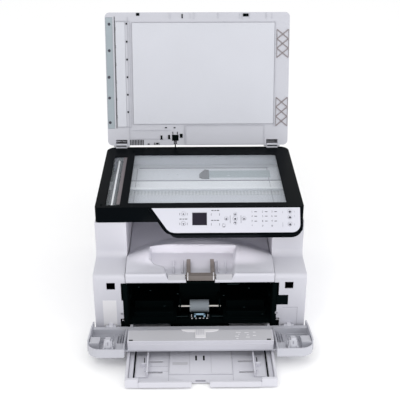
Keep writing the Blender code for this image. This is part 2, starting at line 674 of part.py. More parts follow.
def lid_cable():
    """The short lead from the scanner up to the lid's connector, which stays with the scanner."""
    route = ((CABLE_X, SCANNER_BACK - 0.0055, SCANNER_TOP + GAP),
             (CABLE_X, SCANNER_BACK - 0.0052, SCANNER_TOP + 0.004),
             (CABLE_X, SCANNER_BACK - 0.0040, SCANNER_TOP + 0.0075))
    curve = bpy.data.curves.new("lid_cable", "CURVE")
    curve.dimensions = "3D"
    curve.bevel_depth = 0.0014
    curve.bevel_resolution = 2
    curve.use_fill_caps = True
    spline = curve.splines.new("POLY")
    spline.points.add(len(route) - 1)
    for point, place in zip(spline.points, route):
        point.co = (*place, 1.0)
    cable = bpy.data.objects.new("lid_cable", curve)
    PARTS.objects.link(cable)
    paint("black", cable)


# ---- document feeder -------------------------------------------------------------------------------
def feeder_span():
    """The feeder block's limits across and along the closed lid."""
    left = -LID_WIDTH / 2 + 0.004
    front = LID_FRONT + 0.018
    return (left, left + FEEDER_WIDTH), (front, front + FEEDER_DEPTH)


def feeder():
    """The fixed half of the feeder: a trough with the paper's way in and out on its right."""
    x, y = feeder_span()
    low = LID_TOP + GAP
    seam = low + FEEDER_HEIGHT - FEEDER_COVER
    trough = box("feeder_housing", x, y, (low, seam))
    cut(trough, box("feeder_trough", (x[0] + WALL, x[1] - WALL), (y[0] + WALL, y[1] - WALL),
                    (low + WALL, seam + WALL), CUTTERS))
    cut(trough, box("feeder_exit", (x[1] - 2 * WALL, x[1] + WALL), (y[0] + 0.010, y[1] - 0.010),
                    (low + 0.005, low + 0.015), CUTTERS))
    roller_place = feed_roller_place()
    cut(trough, rod("feeder_bore", "Y", roller_place, FEED_SHAFT_RADIUS + GAP, y[0] + 0.001, y[1] - 0.001,
                    16, CUTTERS))
    tray_low = seam - TRAY_DROP
    tray_y = (LID_FRONT + TRAY_INSET, LID_FRONT + TRAY_INSET + TRAY_WIDTH)
    tray = box("feeder_tray", (x[1] + GAP, x[1] + TRAY_LENGTH), tray_y, (tray_low, tray_low + TRAY_THICKNESS))
    for index, share in enumerate((0.3, 0.76)):
        leg = x[1] + share * TRAY_LENGTH
        join(tray, box(f"tray_leg_{index}", (leg, leg + WALL), (tray_y[1] - WALL, tray_y[1]),
                       (low, tray_low + WALL / 2), CUTTERS))
    paint("cover", trough)
    paint("white", tray)
    return [trough, tray]


def feed_roller_place():
    x, y = feeder_span()
    return (x[0] + 0.085, LID_TOP + GAP + FEEDER_HEIGHT - FEEDER_COVER - 0.006)


def feeder_movers(lid_empty):
    """The jam cover, the feed roller and the two paper guides, each on its own empty."""
    x, y = feeder_span()
    low = LID_TOP + GAP
    seam = low + FEEDER_HEIGHT - FEEDER_COVER + GAP
    top = low + FEEDER_HEIGHT
    outline = [(x[0], seam), (x[1], seam), (x[1], seam + 0.010), (x[1] - 0.030, top), (x[0] + 0.020, top),
               (x[0] + 0.006, top - 0.006), (x[0], top - 0.018)]
    cover = prism("feeder_cover", outline, "Y", *y)
    inside = [(x[0] + WALL, seam - WALL), (x[1] + WALL, seam - WALL), (x[1] + WALL, seam + 0.0065),
              (x[1] - 0.031, top - WALL), (x[0] + 0.021, top - WALL), (x[0] + WALL, top - 0.018)]
    cut(cover, prism("feeder_cover_inside", inside, "Y", y[0] + WALL, y[1] - WALL, CUTTERS))
    paint("white", cover)
    hinge = Vector((x[0], 0, seam))
    child(lid_empty, "feeder_cover_hinge", hinge, cover)
    place = feed_roller_place()
    roller = rod("feeder_roller", "Y", place, FEED_ROLLER_RADIUS, (y[0] + y[1]) / 2 - 0.030,
                 (y[0] + y[1]) / 2 + 0.030)
    join(roller, rod("feeder_shaft", "Y", place, FEED_SHAFT_RADIUS, y[0] + 0.0015, y[1] - 0.0015,
                     16, CUTTERS))
    paint("rubber", roller)
    child(lid_empty, "feeder_roller_hinge", Vector((place[0], 0, place[1])), roller)
    tray_top = seam - GAP - TRAY_DROP + TRAY_THICKNESS
    middle = LID_FRONT + TRAY_INSET + TRAY_WIDTH / 2
    guide_x = (x[1] + 0.07 * TRAY_LENGTH, x[1] + 0.47 * TRAY_LENGTH)
    for name, side in (("feeder_guide_front", -1), ("feeder_guide_back", 1)):
        edge = middle + side * 0.45 * TRAY_WIDTH
        fence = edge - side * FEED_GUIDE_WIDTH
        guide = box(name, guide_x, sorted((edge, fence)), (tray_top + GAP, tray_top + GAP + FEED_GUIDE_SHEET))
        wall = sorted((fence, fence + side * 1.2 * FEED_GUIDE_SHEET))
        join(guide, box(name + "_fence", guide_x, wall, (tray_top + GAP, tray_top + FEED_GUIDE_HEIGHT),
                        CUTTERS))
        paint("grey", guide)
        child(lid_empty, name + "_slide", Vector((0, edge, tray_top)), guide)


def child(parent, name, home, *objects):
    """A joint inside the lid: its empty rides on the lid's empty."""
    empty = pivot(name, Vector(home) - LID_AXIS)
    empty.parent = parent
    hang(empty, home, *objects)


# ---- body --------------------------------------------------------------------------------------------
def base_frame():
    half = BODY_HALF - WALL - GAP
    y = (BODY_FRONT + WALL + GAP, SCANNER_BACK - WALL - GAP)
    base = box("base_frame", (-half, half), y, (0, BASE_HEIGHT))
    channel_back = BODY_FRONT + CHANNEL_LENGTH
    cut(base, box("cassette_channel", (-CHANNEL_HALF_WIDTH, CHANNEL_HALF_WIDTH),
                  (BODY_FRONT - WALL, channel_back), (PAN, CHANNEL_TOP), CUTTERS),
        box("pick_window", (-PICK_HALF_WIDTH, PICK_HALF_WIDTH), (y[0] + SILL_DEPTH, SCANNER_FRONT - 0.020),
            (CHANNEL_TOP - WALL, BASE_HEIGHT + WALL), CUTTERS),
        box("rear_hollow", (-half + WALL, half - WALL), (channel_back + WALL, y[1] - WALL),
            (WALL, BASE_HEIGHT + WALL), CUTTERS))
    paint("liner", base)


def side_outline(inset):
    """The side tower seen from the side, as (y, z)."""
    low = GAP if inset == 0 else -WALL
    front = BODY_FRONT + inset
    back = SCANNER_BACK - inset
    pillar = SCANNER_FRONT + inset
    top = SCANNER_FLOOR - GAP - inset
    shelf = SHELF_HEIGHT - inset
    radius = 0.008
    fillet = PILLAR_FILLET + inset
    points = [(front, low)]
    for step in range(5):
        angle = math.pi - math.pi / 2 * step / 4
        points.append((front + radius + radius * math.cos(angle), shelf - radius + radius * math.sin(angle)))
    for step in range(6):
        angle = -math.pi / 2 + math.pi / 2 * step / 5
        points.append((pillar - fillet + fillet * math.cos(angle), shelf + fillet + fillet * math.sin(angle)))
    points += [(pillar, top), (back, top), (back, low)]
    return points


def side_covers():
    """Each tower is a shell open at the bottom, with the latch hole and the door's ear in front."""
    for name, side in (("side_cover_left", -1), ("side_cover_right", 1)):
        x = sorted((side * BODY_HALF, side * BAY_HALF_WIDTH))
        cover = prism(name, side_outline(0), "X", *x)
        cut(cover, prism(name + "_inside", side_outline(WALL), "X", x[0] + WALL, x[1] - WALL, CUTTERS))
        base_span = sorted((side * (BODY_HALF - WALL), side * (BAY_HALF_WIDTH - WALL)))
        cut(cover, box(name + "_base", base_span, (BODY_FRONT + WALL, SCANNER_BACK - WALL),
                       (-WALL, BASE_HEIGHT + GAP), CUTTERS))
        latch = side * LATCH_CENTRE
        reach = DOOR_LENGTH - LATCH_INSET
        tip = DOOR_TOP + LATCH_HEIGHT - DOOR_AXIS.z
        swing = math.hypot(reach + LATCH_HALF, tip)
        cut(cover, box(name + "_latch_hole", (latch - LATCH_HOLE / 2, latch + LATCH_HOLE / 2),
                       (BODY_FRONT - WALL, BODY_FRONT + 2 * WALL),
                       (DOOR_AXIS.z + reach - LATCH_HALF - 0.001, DOOR_AXIS.z + swing + 0.001), CUTTERS))
        for index, (low, high, depth) in enumerate(NOTCHES):
            notch = sorted((side * (BAY_HALF_WIDTH - WALL), side * (BAY_HALF_WIDTH + depth)))
            cut(cover, box(f"{name}_notch_{index}", notch, (BODY_FRONT - WALL, BODY_FRONT + NOTCH_LENGTH),
                           (low, high), CUTTERS))
        ear = (side * EAR_CENTRE - EAR_WIDTH / 2, side * EAR_CENTRE + EAR_WIDTH / 2)
        join(cover, box(name + "_ear_web", ear, (DOOR_AXIS.y, BODY_FRONT + WALL / 2),
                        (DOOR_AXIS.z - EAR_RADIUS, DOOR_AXIS.z + EAR_RADIUS), CUTTERS),
             rod(name + "_ear", "X", DOOR_AXIS.yz, EAR_RADIUS, *ear, 24, CUTTERS))
        cut(cover, rod(name + "_ear_bore", "X", DOOR_AXIS.yz, DOOR_PIN_RADIUS + PIN_CLEARANCE,
                       ear[0] - WALL, ear[1] + WALL, 24, CUTTERS))
        paint("white", cover)


def deck_height(x, y):
    """The output deck: a flat shelf in front, a swept crest, then a fall to the bay's floor."""
    share = abs(x) / BAY_HALF_WIDTH
    crest = SCANNER_FRONT + CREST_MIDDLE - CREST_SWEEP * share ** 2
    rise_start = crest - CREST_START
    if y <= rise_start:
        return SHELF_HEIGHT
    if y <= crest:
        part = (y - rise_start) / CREST_START
        return SHELF_HEIGHT + CREST_RISE * part * part
    fall = min(1.0, (y - crest) / CREST_FALL)
    smooth = fall * fall * (3 - 2 * fall)
    return SHELF_HEIGHT + CREST_RISE - (CREST_RISE + BAY_FLOOR_DROP) * smooth


def deck_slab(name, thickness, lift=0.0, collection=PARTS):
    """A slab whose one face follows the deck's surface, raised by lift; thickness may go either way."""
    half = BAY_HALF_WIDTH - GAP
    front = BODY_FRONT + WALL / 3
    back = SCANNER_FRONT + EXIT_BACK
    margin = max(lift, 0.0) * 10

    def build(bm):
        bmesh.ops.create_grid(bm, x_segments=14, y_segments=22, size=0.5)
        for vert in bm.verts:
            x = vert.co.x * 2 * half
            y = front + (vert.co.y + 0.5) * (back - front)
            vert.co = (x, y, deck_height(x, y) + lift)
        bmesh.ops.scale(bm, vec=(1 + margin, 1 + margin, 1), verts=bm.verts)
        bmesh.ops.triangulate(bm, faces=bm.faces)
        pushed = bmesh.ops.extrude_face_region(bm, geom=list(bm.faces), use_keep_orig=True)
        moved = [part for part in pushed["geom"] if isinstance(part, bmesh.types.BMVert)]
        bmesh.ops.translate(bm, vec=(0, 0, thickness), verts=moved)
    return solid(name, build, collection)


def well_outline(margin):
    """The sunk well seen from above; margin makes it larger all round, most at the front."""
    front = BODY_FRONT + 2.5 * WALL - 2 * margin
    back = SCANNER_FRONT + WELL_BACK + margin
    step = SCANNER_FRONT + WELL_BACK - WELL_STEP_DEPTH - margin
    left = WELL_LEFT - margin
    right = WELL_RIGHT + margin
    return [(left, front), (right, front), (right + WELL_SIDE, back), (left - WELL_SIDE - WELL_STEP, back),
            (left - WELL_SIDE - WELL_STEP, step), (left - WELL_SIDE, step)]


def exit_deck():
    """The shelf where paper lands, with a sunk well that is open at the front for the paper stop."""
    half = BAY_HALF_WIDTH - GAP
    deck = deck_slab("exit_deck", -WALL)
    lip_top = SHELF_HEIGHT + LIP_RISE
    lip_low = lip_top - DECK_LIP
    floor = SHELF_HEIGHT - WELL_DEPTH
    above = SHELF_HEIGHT + 4 * CREST_RISE
    join(deck, prism("well_outside", well_outline(WALL), "Z", floor - WALL,
                     SHELF_HEIGHT + 2 * CREST_RISE, CUTTERS))
    cut(deck, deck_slab("above_deck", 0.060, 0.0005, CUTTERS))
    join(deck, box("deck_lip", (-half + GAP, half - GAP), (BODY_FRONT, BODY_FRONT + WALL),
                   (lip_low, lip_top), CUTTERS))
    cut(deck, prism("well_inside", well_outline(0), "Z", floor, above, CUTTERS),
        box("well_mouth", (WELL_LEFT + 2 * GAP, WELL_RIGHT - 2 * GAP),
            (BODY_FRONT - WALL, BODY_FRONT + 3 * WALL), (floor + WELL_MOUTH, above), CUTTERS))
    axis = stopper_axis()
    cut(deck, box("stop_notch", (STOP_LEFT - 2 * GAP, STOP_RIGHT + 2 * GAP),
                  (BODY_FRONT - WALL, axis.y + STOP_PLATE), (lip_low - WALL, above), CUTTERS))
    for index, low in enumerate(stop_ears()):
        ear = (low, low + STOP_EAR)
        join(deck, box(f"stop_ear_{index}", ear, (axis.y - STOP_EAR * 0.7, axis.y + STOP_EAR * 0.7),
                       (floor - WALL / 2, axis.z + 2 * STOP_PIN), CUTTERS))
        cut(deck, rod(f"stop_bore_{index}", "X", axis.yz, STOP_PIN + PIN_CLEARANCE, ear[0] - WALL,
                      ear[1] + WALL, 16, CUTTERS))
    paint("cover", deck)


def stopper_axis():
    return Vector((0, BODY_FRONT + STOP_EAR, SHELF_HEIGHT - LIP_RISE))


def stop_ears():
    """The near ends, along X, of the two ears that carry the paper stop."""
    clear = 4 * GAP
    return (STOP_LEFT - clear - STOP_EAR, STOP_RIGHT + clear)


def paper_stop():
    """A U that lies in the well: two arms, a cross plate and a skirt that closes the deck's edge."""
    axis = stopper_axis()
    low = axis.z - 0.6 * STOP_THICKNESS
    high = low + STOP_THICKNESS
    front = BODY_FRONT - 0.001
    back = BODY_FRONT + STOP_REACH
    ears = stop_ears()
    bar = box("paper_stop", (STOP_LEFT, STOP_RIGHT), (front, axis.y + 0.6 * STOP_PLATE), (low, high))
    join(bar, box("stop_arm_left", (STOP_LEFT + GAP, STOP_LEFT + STOP_ARM), (axis.y, back),
                  (low + GAP, high - GAP), CUTTERS),
         box("stop_arm_right", (STOP_RIGHT - STOP_ARM, STOP_RIGHT - GAP), (axis.y, back),
             (low + GAP, high - GAP), CUTTERS),
         box("stop_skirt", (STOP_LEFT + GAP, STOP_RIGHT - GAP), (front + GAP / 2, front + 0.002),
             (axis.z - STOP_SKIRT, low + GAP), CUTTERS),
         rod("stop_pin", "X", axis.yz, STOP_PIN, ears[0] + 0.0005, ears[1] + STOP_EAR - 0.0005, 16, CUTTERS))
    paint("taupe", bar)
    hang(pivot("paper_stop_hinge", axis), axis, bar)


def exit_housing():
    """The engine's top at the back of the output bay, with the exit rollers in its face."""
    half = BAY_HALF_WIDTH - GAP
    front = SCANNER_FRONT + EXIT_BACK + GAP
    y = (front, SCANNER_BACK - WALL - GAP)
    low = SHELF_HEIGHT - BAY_FLOOR_DROP - WALL
    top = SCANNER_FLOOR - GAP
    housing = box("exit_housing", (-half, half), y, (low, top))
    cut(housing, box("exit_hollow", (-half + WALL, half - WALL), (y[0] + WALL, y[1] - WALL),
                     (low - WALL, top - WALL), CUTTERS))
    height = EXIT_ROLLER_HEIGHT
    slot = (height - EXIT_SLOT_HEIGHT / 2, height + EXIT_SLOT_HEIGHT / 2)
    cut(housing, box("exit_slot", (-EXIT_SLOT_HALF, EXIT_SLOT_HALF), (y[0] - WALL, y[0] + 2 * WALL),
                     slot, CUTTERS))
    axis = (y[0] + 0.010, height)
    for side in (-1, 1):
        x = sorted((side * (EXIT_SLOT_HALF + 0.0005), side * (EXIT_SLOT_HALF + 0.0045)))
        join(housing, box(f"exit_bearing_{side}", x, (y[0] + WALL / 2, axis[0] + EXIT_ROLLER_RADIUS),
                          (height - 0.008, height + 0.008), CUTTERS))
        cut(housing, rod(f"exit_bore_{side}", "X", axis, SHAFT_RADIUS + PIN_CLEARANCE, x[0] - WALL,
                         x[1] + WALL, 24, CUTTERS))
    paint("cover", housing)
    roller = rod("exit_roller", "X", axis, SHAFT_RADIUS, -EXIT_ROLLER_HALF, EXIT_ROLLER_HALF)
    for middle in EXIT_TYRES:
        join(roller, rod(f"exit_tyre_{middle}", "X", axis, EXIT_ROLLER_RADIUS, middle - EXIT_TYRE_WIDTH / 2,
                         middle + EXIT_TYRE_WIDTH / 2, 24, CUTTERS))
    paint("rubber", roller)
    home = Vector((0, *axis))
    hang(pivot("exit_roller_hinge", home), home, roller)


def cavity_liner():
    """The black box behind the door that holds the toner unit, with its two guide rails."""
    half = BAY_HALF_WIDTH - GAP
    y = (BODY_FRONT + 0.004, SCANNER_FRONT + CAVITY_BACK)
    low = BASE_HEIGHT + GAP
    liner = box("cavity_liner", (-half, half), y, (low, CAVITY_TOP))
    cut(liner, box("liner_inside", (-half + WALL, half - WALL), (y[0] - WALL, y[1] - WALL),
                   (low + WALL, CAVITY_TOP - WALL), CUTTERS))
    cut(liner, box("liner_pick_window", (-PICK_HALF_WIDTH, PICK_HALF_WIDTH),
                   (y[0] - WALL, SCANNER_FRONT - PICK_BACK / 2), (low - WALL, low + 2 * WALL), CUTTERS))
    for side in (-1, 1):
        x = sorted((side * (half - WALL / 2), side * (half - 0.008)))
        join(liner, box(f"rail_{side}", x, (y[0] + 0.020, y[1] - WALL / 2),
                        (GUIDE_RAIL_HEIGHT, GUIDE_RAIL_HEIGHT + GUIDE_RAIL_WIDTH), CUTTERS))
    axis = transfer_axis()
    cut(liner, rod("transfer_bore", "X", axis.yz, SHAFT_RADIUS + PIN_CLEARANCE, -half - WALL,
                   half + WALL, 24, CUTTERS))
    paint("liner", liner)
    roller = rod("transfer_roller", "X", axis.yz, TRANSFER_RADIUS, -TRANSFER_HALF, TRANSFER_HALF)
    join(roller, rod("transfer_shaft", "X", axis.yz, SHAFT_RADIUS, -half + 0.0005, half - 0.0005,
                     24, CUTTERS))
    paint("rubber", roller)
    hang(pivot("transfer_roller_hinge", axis), axis, roller)


def transfer_axis():
    return Vector((0, SCANNER_FRONT + 0.050, BASE_HEIGHT + 0.020))


def pick_unit():
    """The paper pick-up roller on its steel shaft, its bracket, and the separation pad below."""
    axis = Vector((0, SCANNER_FRONT - PICK_BACK, PICK_HEIGHT))
    floor = BASE_HEIGHT + GAP + WALL + GAP
    sheet_y = axis.y + ROLLER_RADIUS + 0.0085
    bracket = box("roller_bracket", (-BRACKET_HALF, BRACKET_HALF), (sheet_y, sheet_y + BRACKET_SHEET),
                  (floor, BRACKET_TOP))
    for side in (-1, 1):
        x = sorted((side * (BRACKET_HALF - BRACKET_ARM), side * BRACKET_HALF))
        join(bracket, box(f"bracket_arm_{side}", x, (axis.y - 0.007, sheet_y + BRACKET_SHEET / 2),
                          (axis.z - 0.007, 0.75 * BRACKET_TOP), CUTTERS))
        cut(bracket, rod(f"bracket_bore_{side}", "X", axis.yz, SHAFT_RADIUS + PIN_CLEARANCE, x[0] - WALL,
                         x[1] + WALL, 24, CUTTERS))
    paint("liner", bracket)
    roller = rod("pickup_roller", "X", axis.yz, ROLLER_RADIUS, PICK_LEFT, PICK_RIGHT, 32)
    cut(roller, rod("roller_bore", "X", axis.yz, SHAFT_RADIUS + PIN_CLEARANCE, PICK_LEFT - WALL,
                    PICK_RIGHT + WALL, 24, CUTTERS))
    paint("rubber", roller)
    shaft = rod("pickup_shaft", "X", axis.yz, SHAFT_RADIUS, -BRACKET_HALF - 0.001, BRACKET_HALF + 0.001)
    paint("steel", shaft)
    hang(pivot("pickup_hinge", axis), axis, roller, shaft)
    sill_back = BODY_FRONT + WALL + GAP + SILL_DEPTH
    seat_low = PAD_TOP - WALL
    holder = box("pad_holder", (-HOLDER_HALF, HOLDER_HALF), (sill_back + GAP, sill_back + HOLDER_DEPTH),
                 (CHANNEL_TOP / 2, PAD_TOP - 0.001))
    cut(holder, box("pad_seat", (-PAD_HALF - GAP, PAD_HALF + GAP),
                    (sill_back - WALL, sill_back + HOLDER_DEPTH - 0.002),
                    (seat_low, PAD_TOP + WALL), CUTTERS))
    paint("blue", holder)
    pad = box("separation_pad", (-PAD_HALF, PAD_HALF),
              (sill_back + GAP, sill_back + HOLDER_DEPTH - 0.002 - GAP), (seat_low + GAP, PAD_TOP))
    paint("rubber", pad)


def rear_cover():
    """The back wall with a hinged jam door, the mains inlet and the power switch."""
    half = BAY_HALF_WIDTH - GAP
    y = (SCANNER_BACK - WALL, SCANNER_BACK)
    top = SCANNER_FLOOR - GAP
    through = (y[0] - WALL, y[1] + WALL)
    cover = box("rear_cover", (-half, half), y, (BASE_HEIGHT + GAP, top))
    openings = (("rear_door_hole", REAR_DOOR_X, REAR_DOOR_Z, REAR_DOOR_GAP),
                ("inlet_hole", INLET_X, INLET_Z, GAP), ("switch_hole", INLET_X, SWITCH_Z, GAP))
    for name, x, z, gap in openings:
        cut(cover, box(name, (x[0] - gap, x[1] + gap), through, (z[0] - gap, z[1] + gap), CUTTERS))
    paint("cover", cover)
    door = box("rear_door", REAR_DOOR_X, y, REAR_DOOR_Z)
    paint("cover", door)
    home = Vector((0, y[1], REAR_DOOR_Z[0]))
    hang(pivot("rear_door_hinge", home), home, door)
    mains_inlet(y)
    power_rocker(y)


def mains_inlet(y):
    """A socket with three blades, whose plug comes from behind."""
    inlet = box("power_inlet", INLET_X, (y[0] - INLET_DEPTH, y[1]), INLET_Z)
    cut(inlet, box("inlet_well", (INLET_X[0] + INLET_WALL, INLET_X[1] - INLET_WALL),
                   (y[0] - INLET_DEPTH + 2 * WALL, y[1] + WALL),
                   (INLET_Z[0] + INLET_WALL, INLET_Z[1] - INLET_WALL), CUTTERS))
    middle_z = sum(INLET_Z) / 2
    for index, (x, rise) in enumerate(((-0.007, 0.0015), (0.0, -0.0025), (0.007, 0.0015))):
        middle = sum(INLET_X) / 2 + x
        z = middle_z + rise
        join(inlet, box(f"inlet_blade_{index}", (middle - 0.001, middle + 0.001),
                        (y[0] - INLET_DEPTH + WALL, y[1] - WALL), (z - 0.002, z + 0.002), CUTTERS))
    paint("black", inlet)


def power_rocker(y):
    """The switch rocks about an axis in the back wall; its face stands 0.5 mm proud."""
    axis = Vector((sum(INLET_X) / 2, y[0], sum(SWITCH_Z) / 2))
    half = (SWITCH_Z[1] - SWITCH_Z[0]) / 2
    inner = half - 0.0025
    outer = half - 0.0012
    outline = [(axis.y - 0.004, axis.z - inner), (y[1] - 0.0005, axis.z - outer), (y[1] + 0.0005, axis.z),
               (y[1] - 0.0005, axis.z + outer), (axis.y - 0.004, axis.z + inner)]
    rocker = prism("power_switch", outline, "X", INLET_X[0] + 0.0002, INLET_X[1] - 0.0002)
    paint("black", rocker)
    hang(pivot("power_switch_hinge", axis), axis, rocker)


# ---- front door --------------------------------------------------------------------------------------
def folded(forward, z):
    """Turns a place given with the door at rest into the door's own level frame."""
    rise = z - DOOR_AXIS.z
    return (DOOR_AXIS.y - forward * math.cos(DOOR_TILT) - rise * math.sin(DOOR_TILT),
            DOOR_AXIS.z - forward * math.sin(DOOR_TILT) + rise * math.cos(DOOR_TILT))


def bridge_height(forward):
    """The bridge's underside, at rest, at a distance in front of the axis."""
    share = (forward - BRIDGE_BACK[0]) / (BRIDGE_FRONT[0] - BRIDGE_BACK[0])
    return BRIDGE_BACK[1] + share * (BRIDGE_FRONT[1] - BRIDGE_BACK[1])


def front_door():
    """Two outer trays, a low bridge over the cassette, wings and latches, drawn level, then tilted."""
    half = CHANNEL_HALF_WIDTH + 0.002 + WALL / 2
    outline = [folded(*BRIDGE_BACK), folded(*BRIDGE_FRONT),
               folded(BRIDGE_FRONT[0], BRIDGE_FRONT[1] + WALL), folded(BRIDGE_BACK[0], BRIDGE_BACK[1] + WALL)]
    door = prism("door_panel", outline, "X", -half, half)
    for side in (-1, 1):
        door_tray(door, side)
        door_latch(door, side)
        door_hinge(door, side)
    paint("white", door)
    near = BRIDGE_FRONT[0] - BLOCK_DEPTH
    outline = [(near, bridge_height(near) + WALL + GAP), (BRIDGE_FRONT[0], BRIDGE_FRONT[1] + WALL + GAP),
               (BRIDGE_FRONT[0], BLOCK_TOP), (near, BLOCK_TOP)]
    block = prism("paper_block", [folded(*point) for point in outline], "X",
                  -BLOCK_HALF_WIDTH, BLOCK_HALF_WIDTH)
    hollow = [(near + WALL, DOOR_UNDERSIDE), (BRIDGE_FRONT[0] - WALL, DOOR_UNDERSIDE),
              (BRIDGE_FRONT[0] - WALL, BLOCK_TOP - WALL), (near + WALL, BLOCK_TOP - WALL)]
    cut(block, prism("block_hollow", [folded(*point) for point in hollow], "X",
                     -BLOCK_HALF_WIDTH + WALL, BLOCK_HALF_WIDTH - WALL, CUTTERS))
    paint("cover", block)
    hang(pivot("door_hinge", DOOR_AXIS, -DOOR_TILT), DOOR_AXIS, door, block)


def door_tray(door, side):
    """A shallow tray beside the cassette, with a round front corner and an upright wing outside."""
    inner = CHANNEL_HALF_WIDTH + 0.002
    x = sorted((side * inner, side * (DOOR_HALF_WIDTH - WALL / 2)))
    radii = (DOOR_CORNER, 0, 0, 0) if side < 0 else (0, DOOR_CORNER, 0, 0)
    join(door, prism(f"door_tray_{side}", rounded(x, (DOOR_FRONT, DOOR_BACK), radii), "Z",
                     DOOR_UNDERSIDE, DOOR_TOP, CUTTERS))
    hollow = sorted((side * (inner + WALL), side * (DOOR_HALF_WIDTH - WALL)))
    inside = [max(radius - WALL, 0) for radius in radii]
    cut(door, prism(f"door_hollow_{side}",
                    rounded(hollow, (DOOR_FRONT + WALL, DOOR_BACK - 4 * WALL), inside), "Z",
                    DOOR_UNDERSIDE + WALL, DOOR_TOP + WALL, CUTTERS))
    wing_x = sorted((side * (DOOR_HALF_WIDTH - WING_SHEET), side * DOOR_HALF_WIDTH))
    front = DOOR_FRONT + DOOR_CORNER
    back = DOOR_AXIS.y + WING_BACK
    low = DOOR_UNDERSIDE + 0.0005
    wing = [(front, low), (front, WING_TOP), (DOOR_AXIS.y - WING_BACK, WING_TOP),
            (back, WING_TOP - 0.004), (back, 2 * DOOR_UNDERSIDE), (DOOR_BACK - 0.0005, low)]
    join(door, prism(f"door_wing_{side}", wing, "X", *wing_x, CUTTERS))


def door_latch(door, side):
    """The upright latch that enters the tower's hole when the door is shut."""
    middle = side * LATCH_CENTRE
    y = DOOR_FRONT + LATCH_INSET
    base = LATCH_HALF + 0.0015
    join(door, box(f"latch_base_{side}", (middle - LATCH_WIDTH, middle + LATCH_WIDTH), (y - base, y + base),
                   (DOOR_UNDERSIDE + WALL / 2, DOOR_TOP - 0.001), CUTTERS),
         box(f"latch_{side}", (middle - LATCH_WIDTH / 2, middle + LATCH_WIDTH / 2),
             (y - LATCH_HALF, y + LATCH_HALF), (DOOR_TOP - WALL, DOOR_TOP + LATCH_HEIGHT), CUTTERS))


def door_hinge(door, side):
    """Two knuckles and a pin that hold the tower's ear between them."""
    for arm in (-1, 1):
        near = side * EAR_CENTRE + arm * (EAR_WIDTH / 2 + GAP)
        arm_x = sorted((near, near + arm * 0.005))
        join(door, box(f"door_arm_{side}_{arm}", arm_x, (DOOR_BACK - WALL, DOOR_AXIS.y),
                       (DOOR_AXIS.z - 0.0035, DOOR_AXIS.z + 0.0015), CUTTERS),
             rod(f"door_knuckle_{side}_{arm}", "X", DOOR_AXIS.yz, 0.0045, *arm_x, 24, CUTTERS))
    ear_gap = (side * EAR_CENTRE - EAR_WIDTH / 2 - GAP, side * EAR_CENTRE + EAR_WIDTH / 2 + GAP)
    clear = EAR_RADIUS + 0.0005
    cut(door, rod(f"ear_relief_{side}", "X", DOOR_AXIS.yz, clear, *ear_gap, 24, CUTTERS),
        box(f"web_relief_{side}", (ear_gap[0] + GAP / 5, ear_gap[1] - GAP / 5),
            (DOOR_AXIS.y - clear - GAP, DOOR_AXIS.y + 2 * clear),
            (DOOR_AXIS.z + 2 * GAP, DOOR_TOP + WALL), CUTTERS))
    join(door, rod(f"door_pin_{side}", "X", DOOR_AXIS.yz, DOOR_PIN_RADIUS,
                   ear_gap[0] - 0.004, ear_gap[1] + 0.004, 24, CUTTERS))


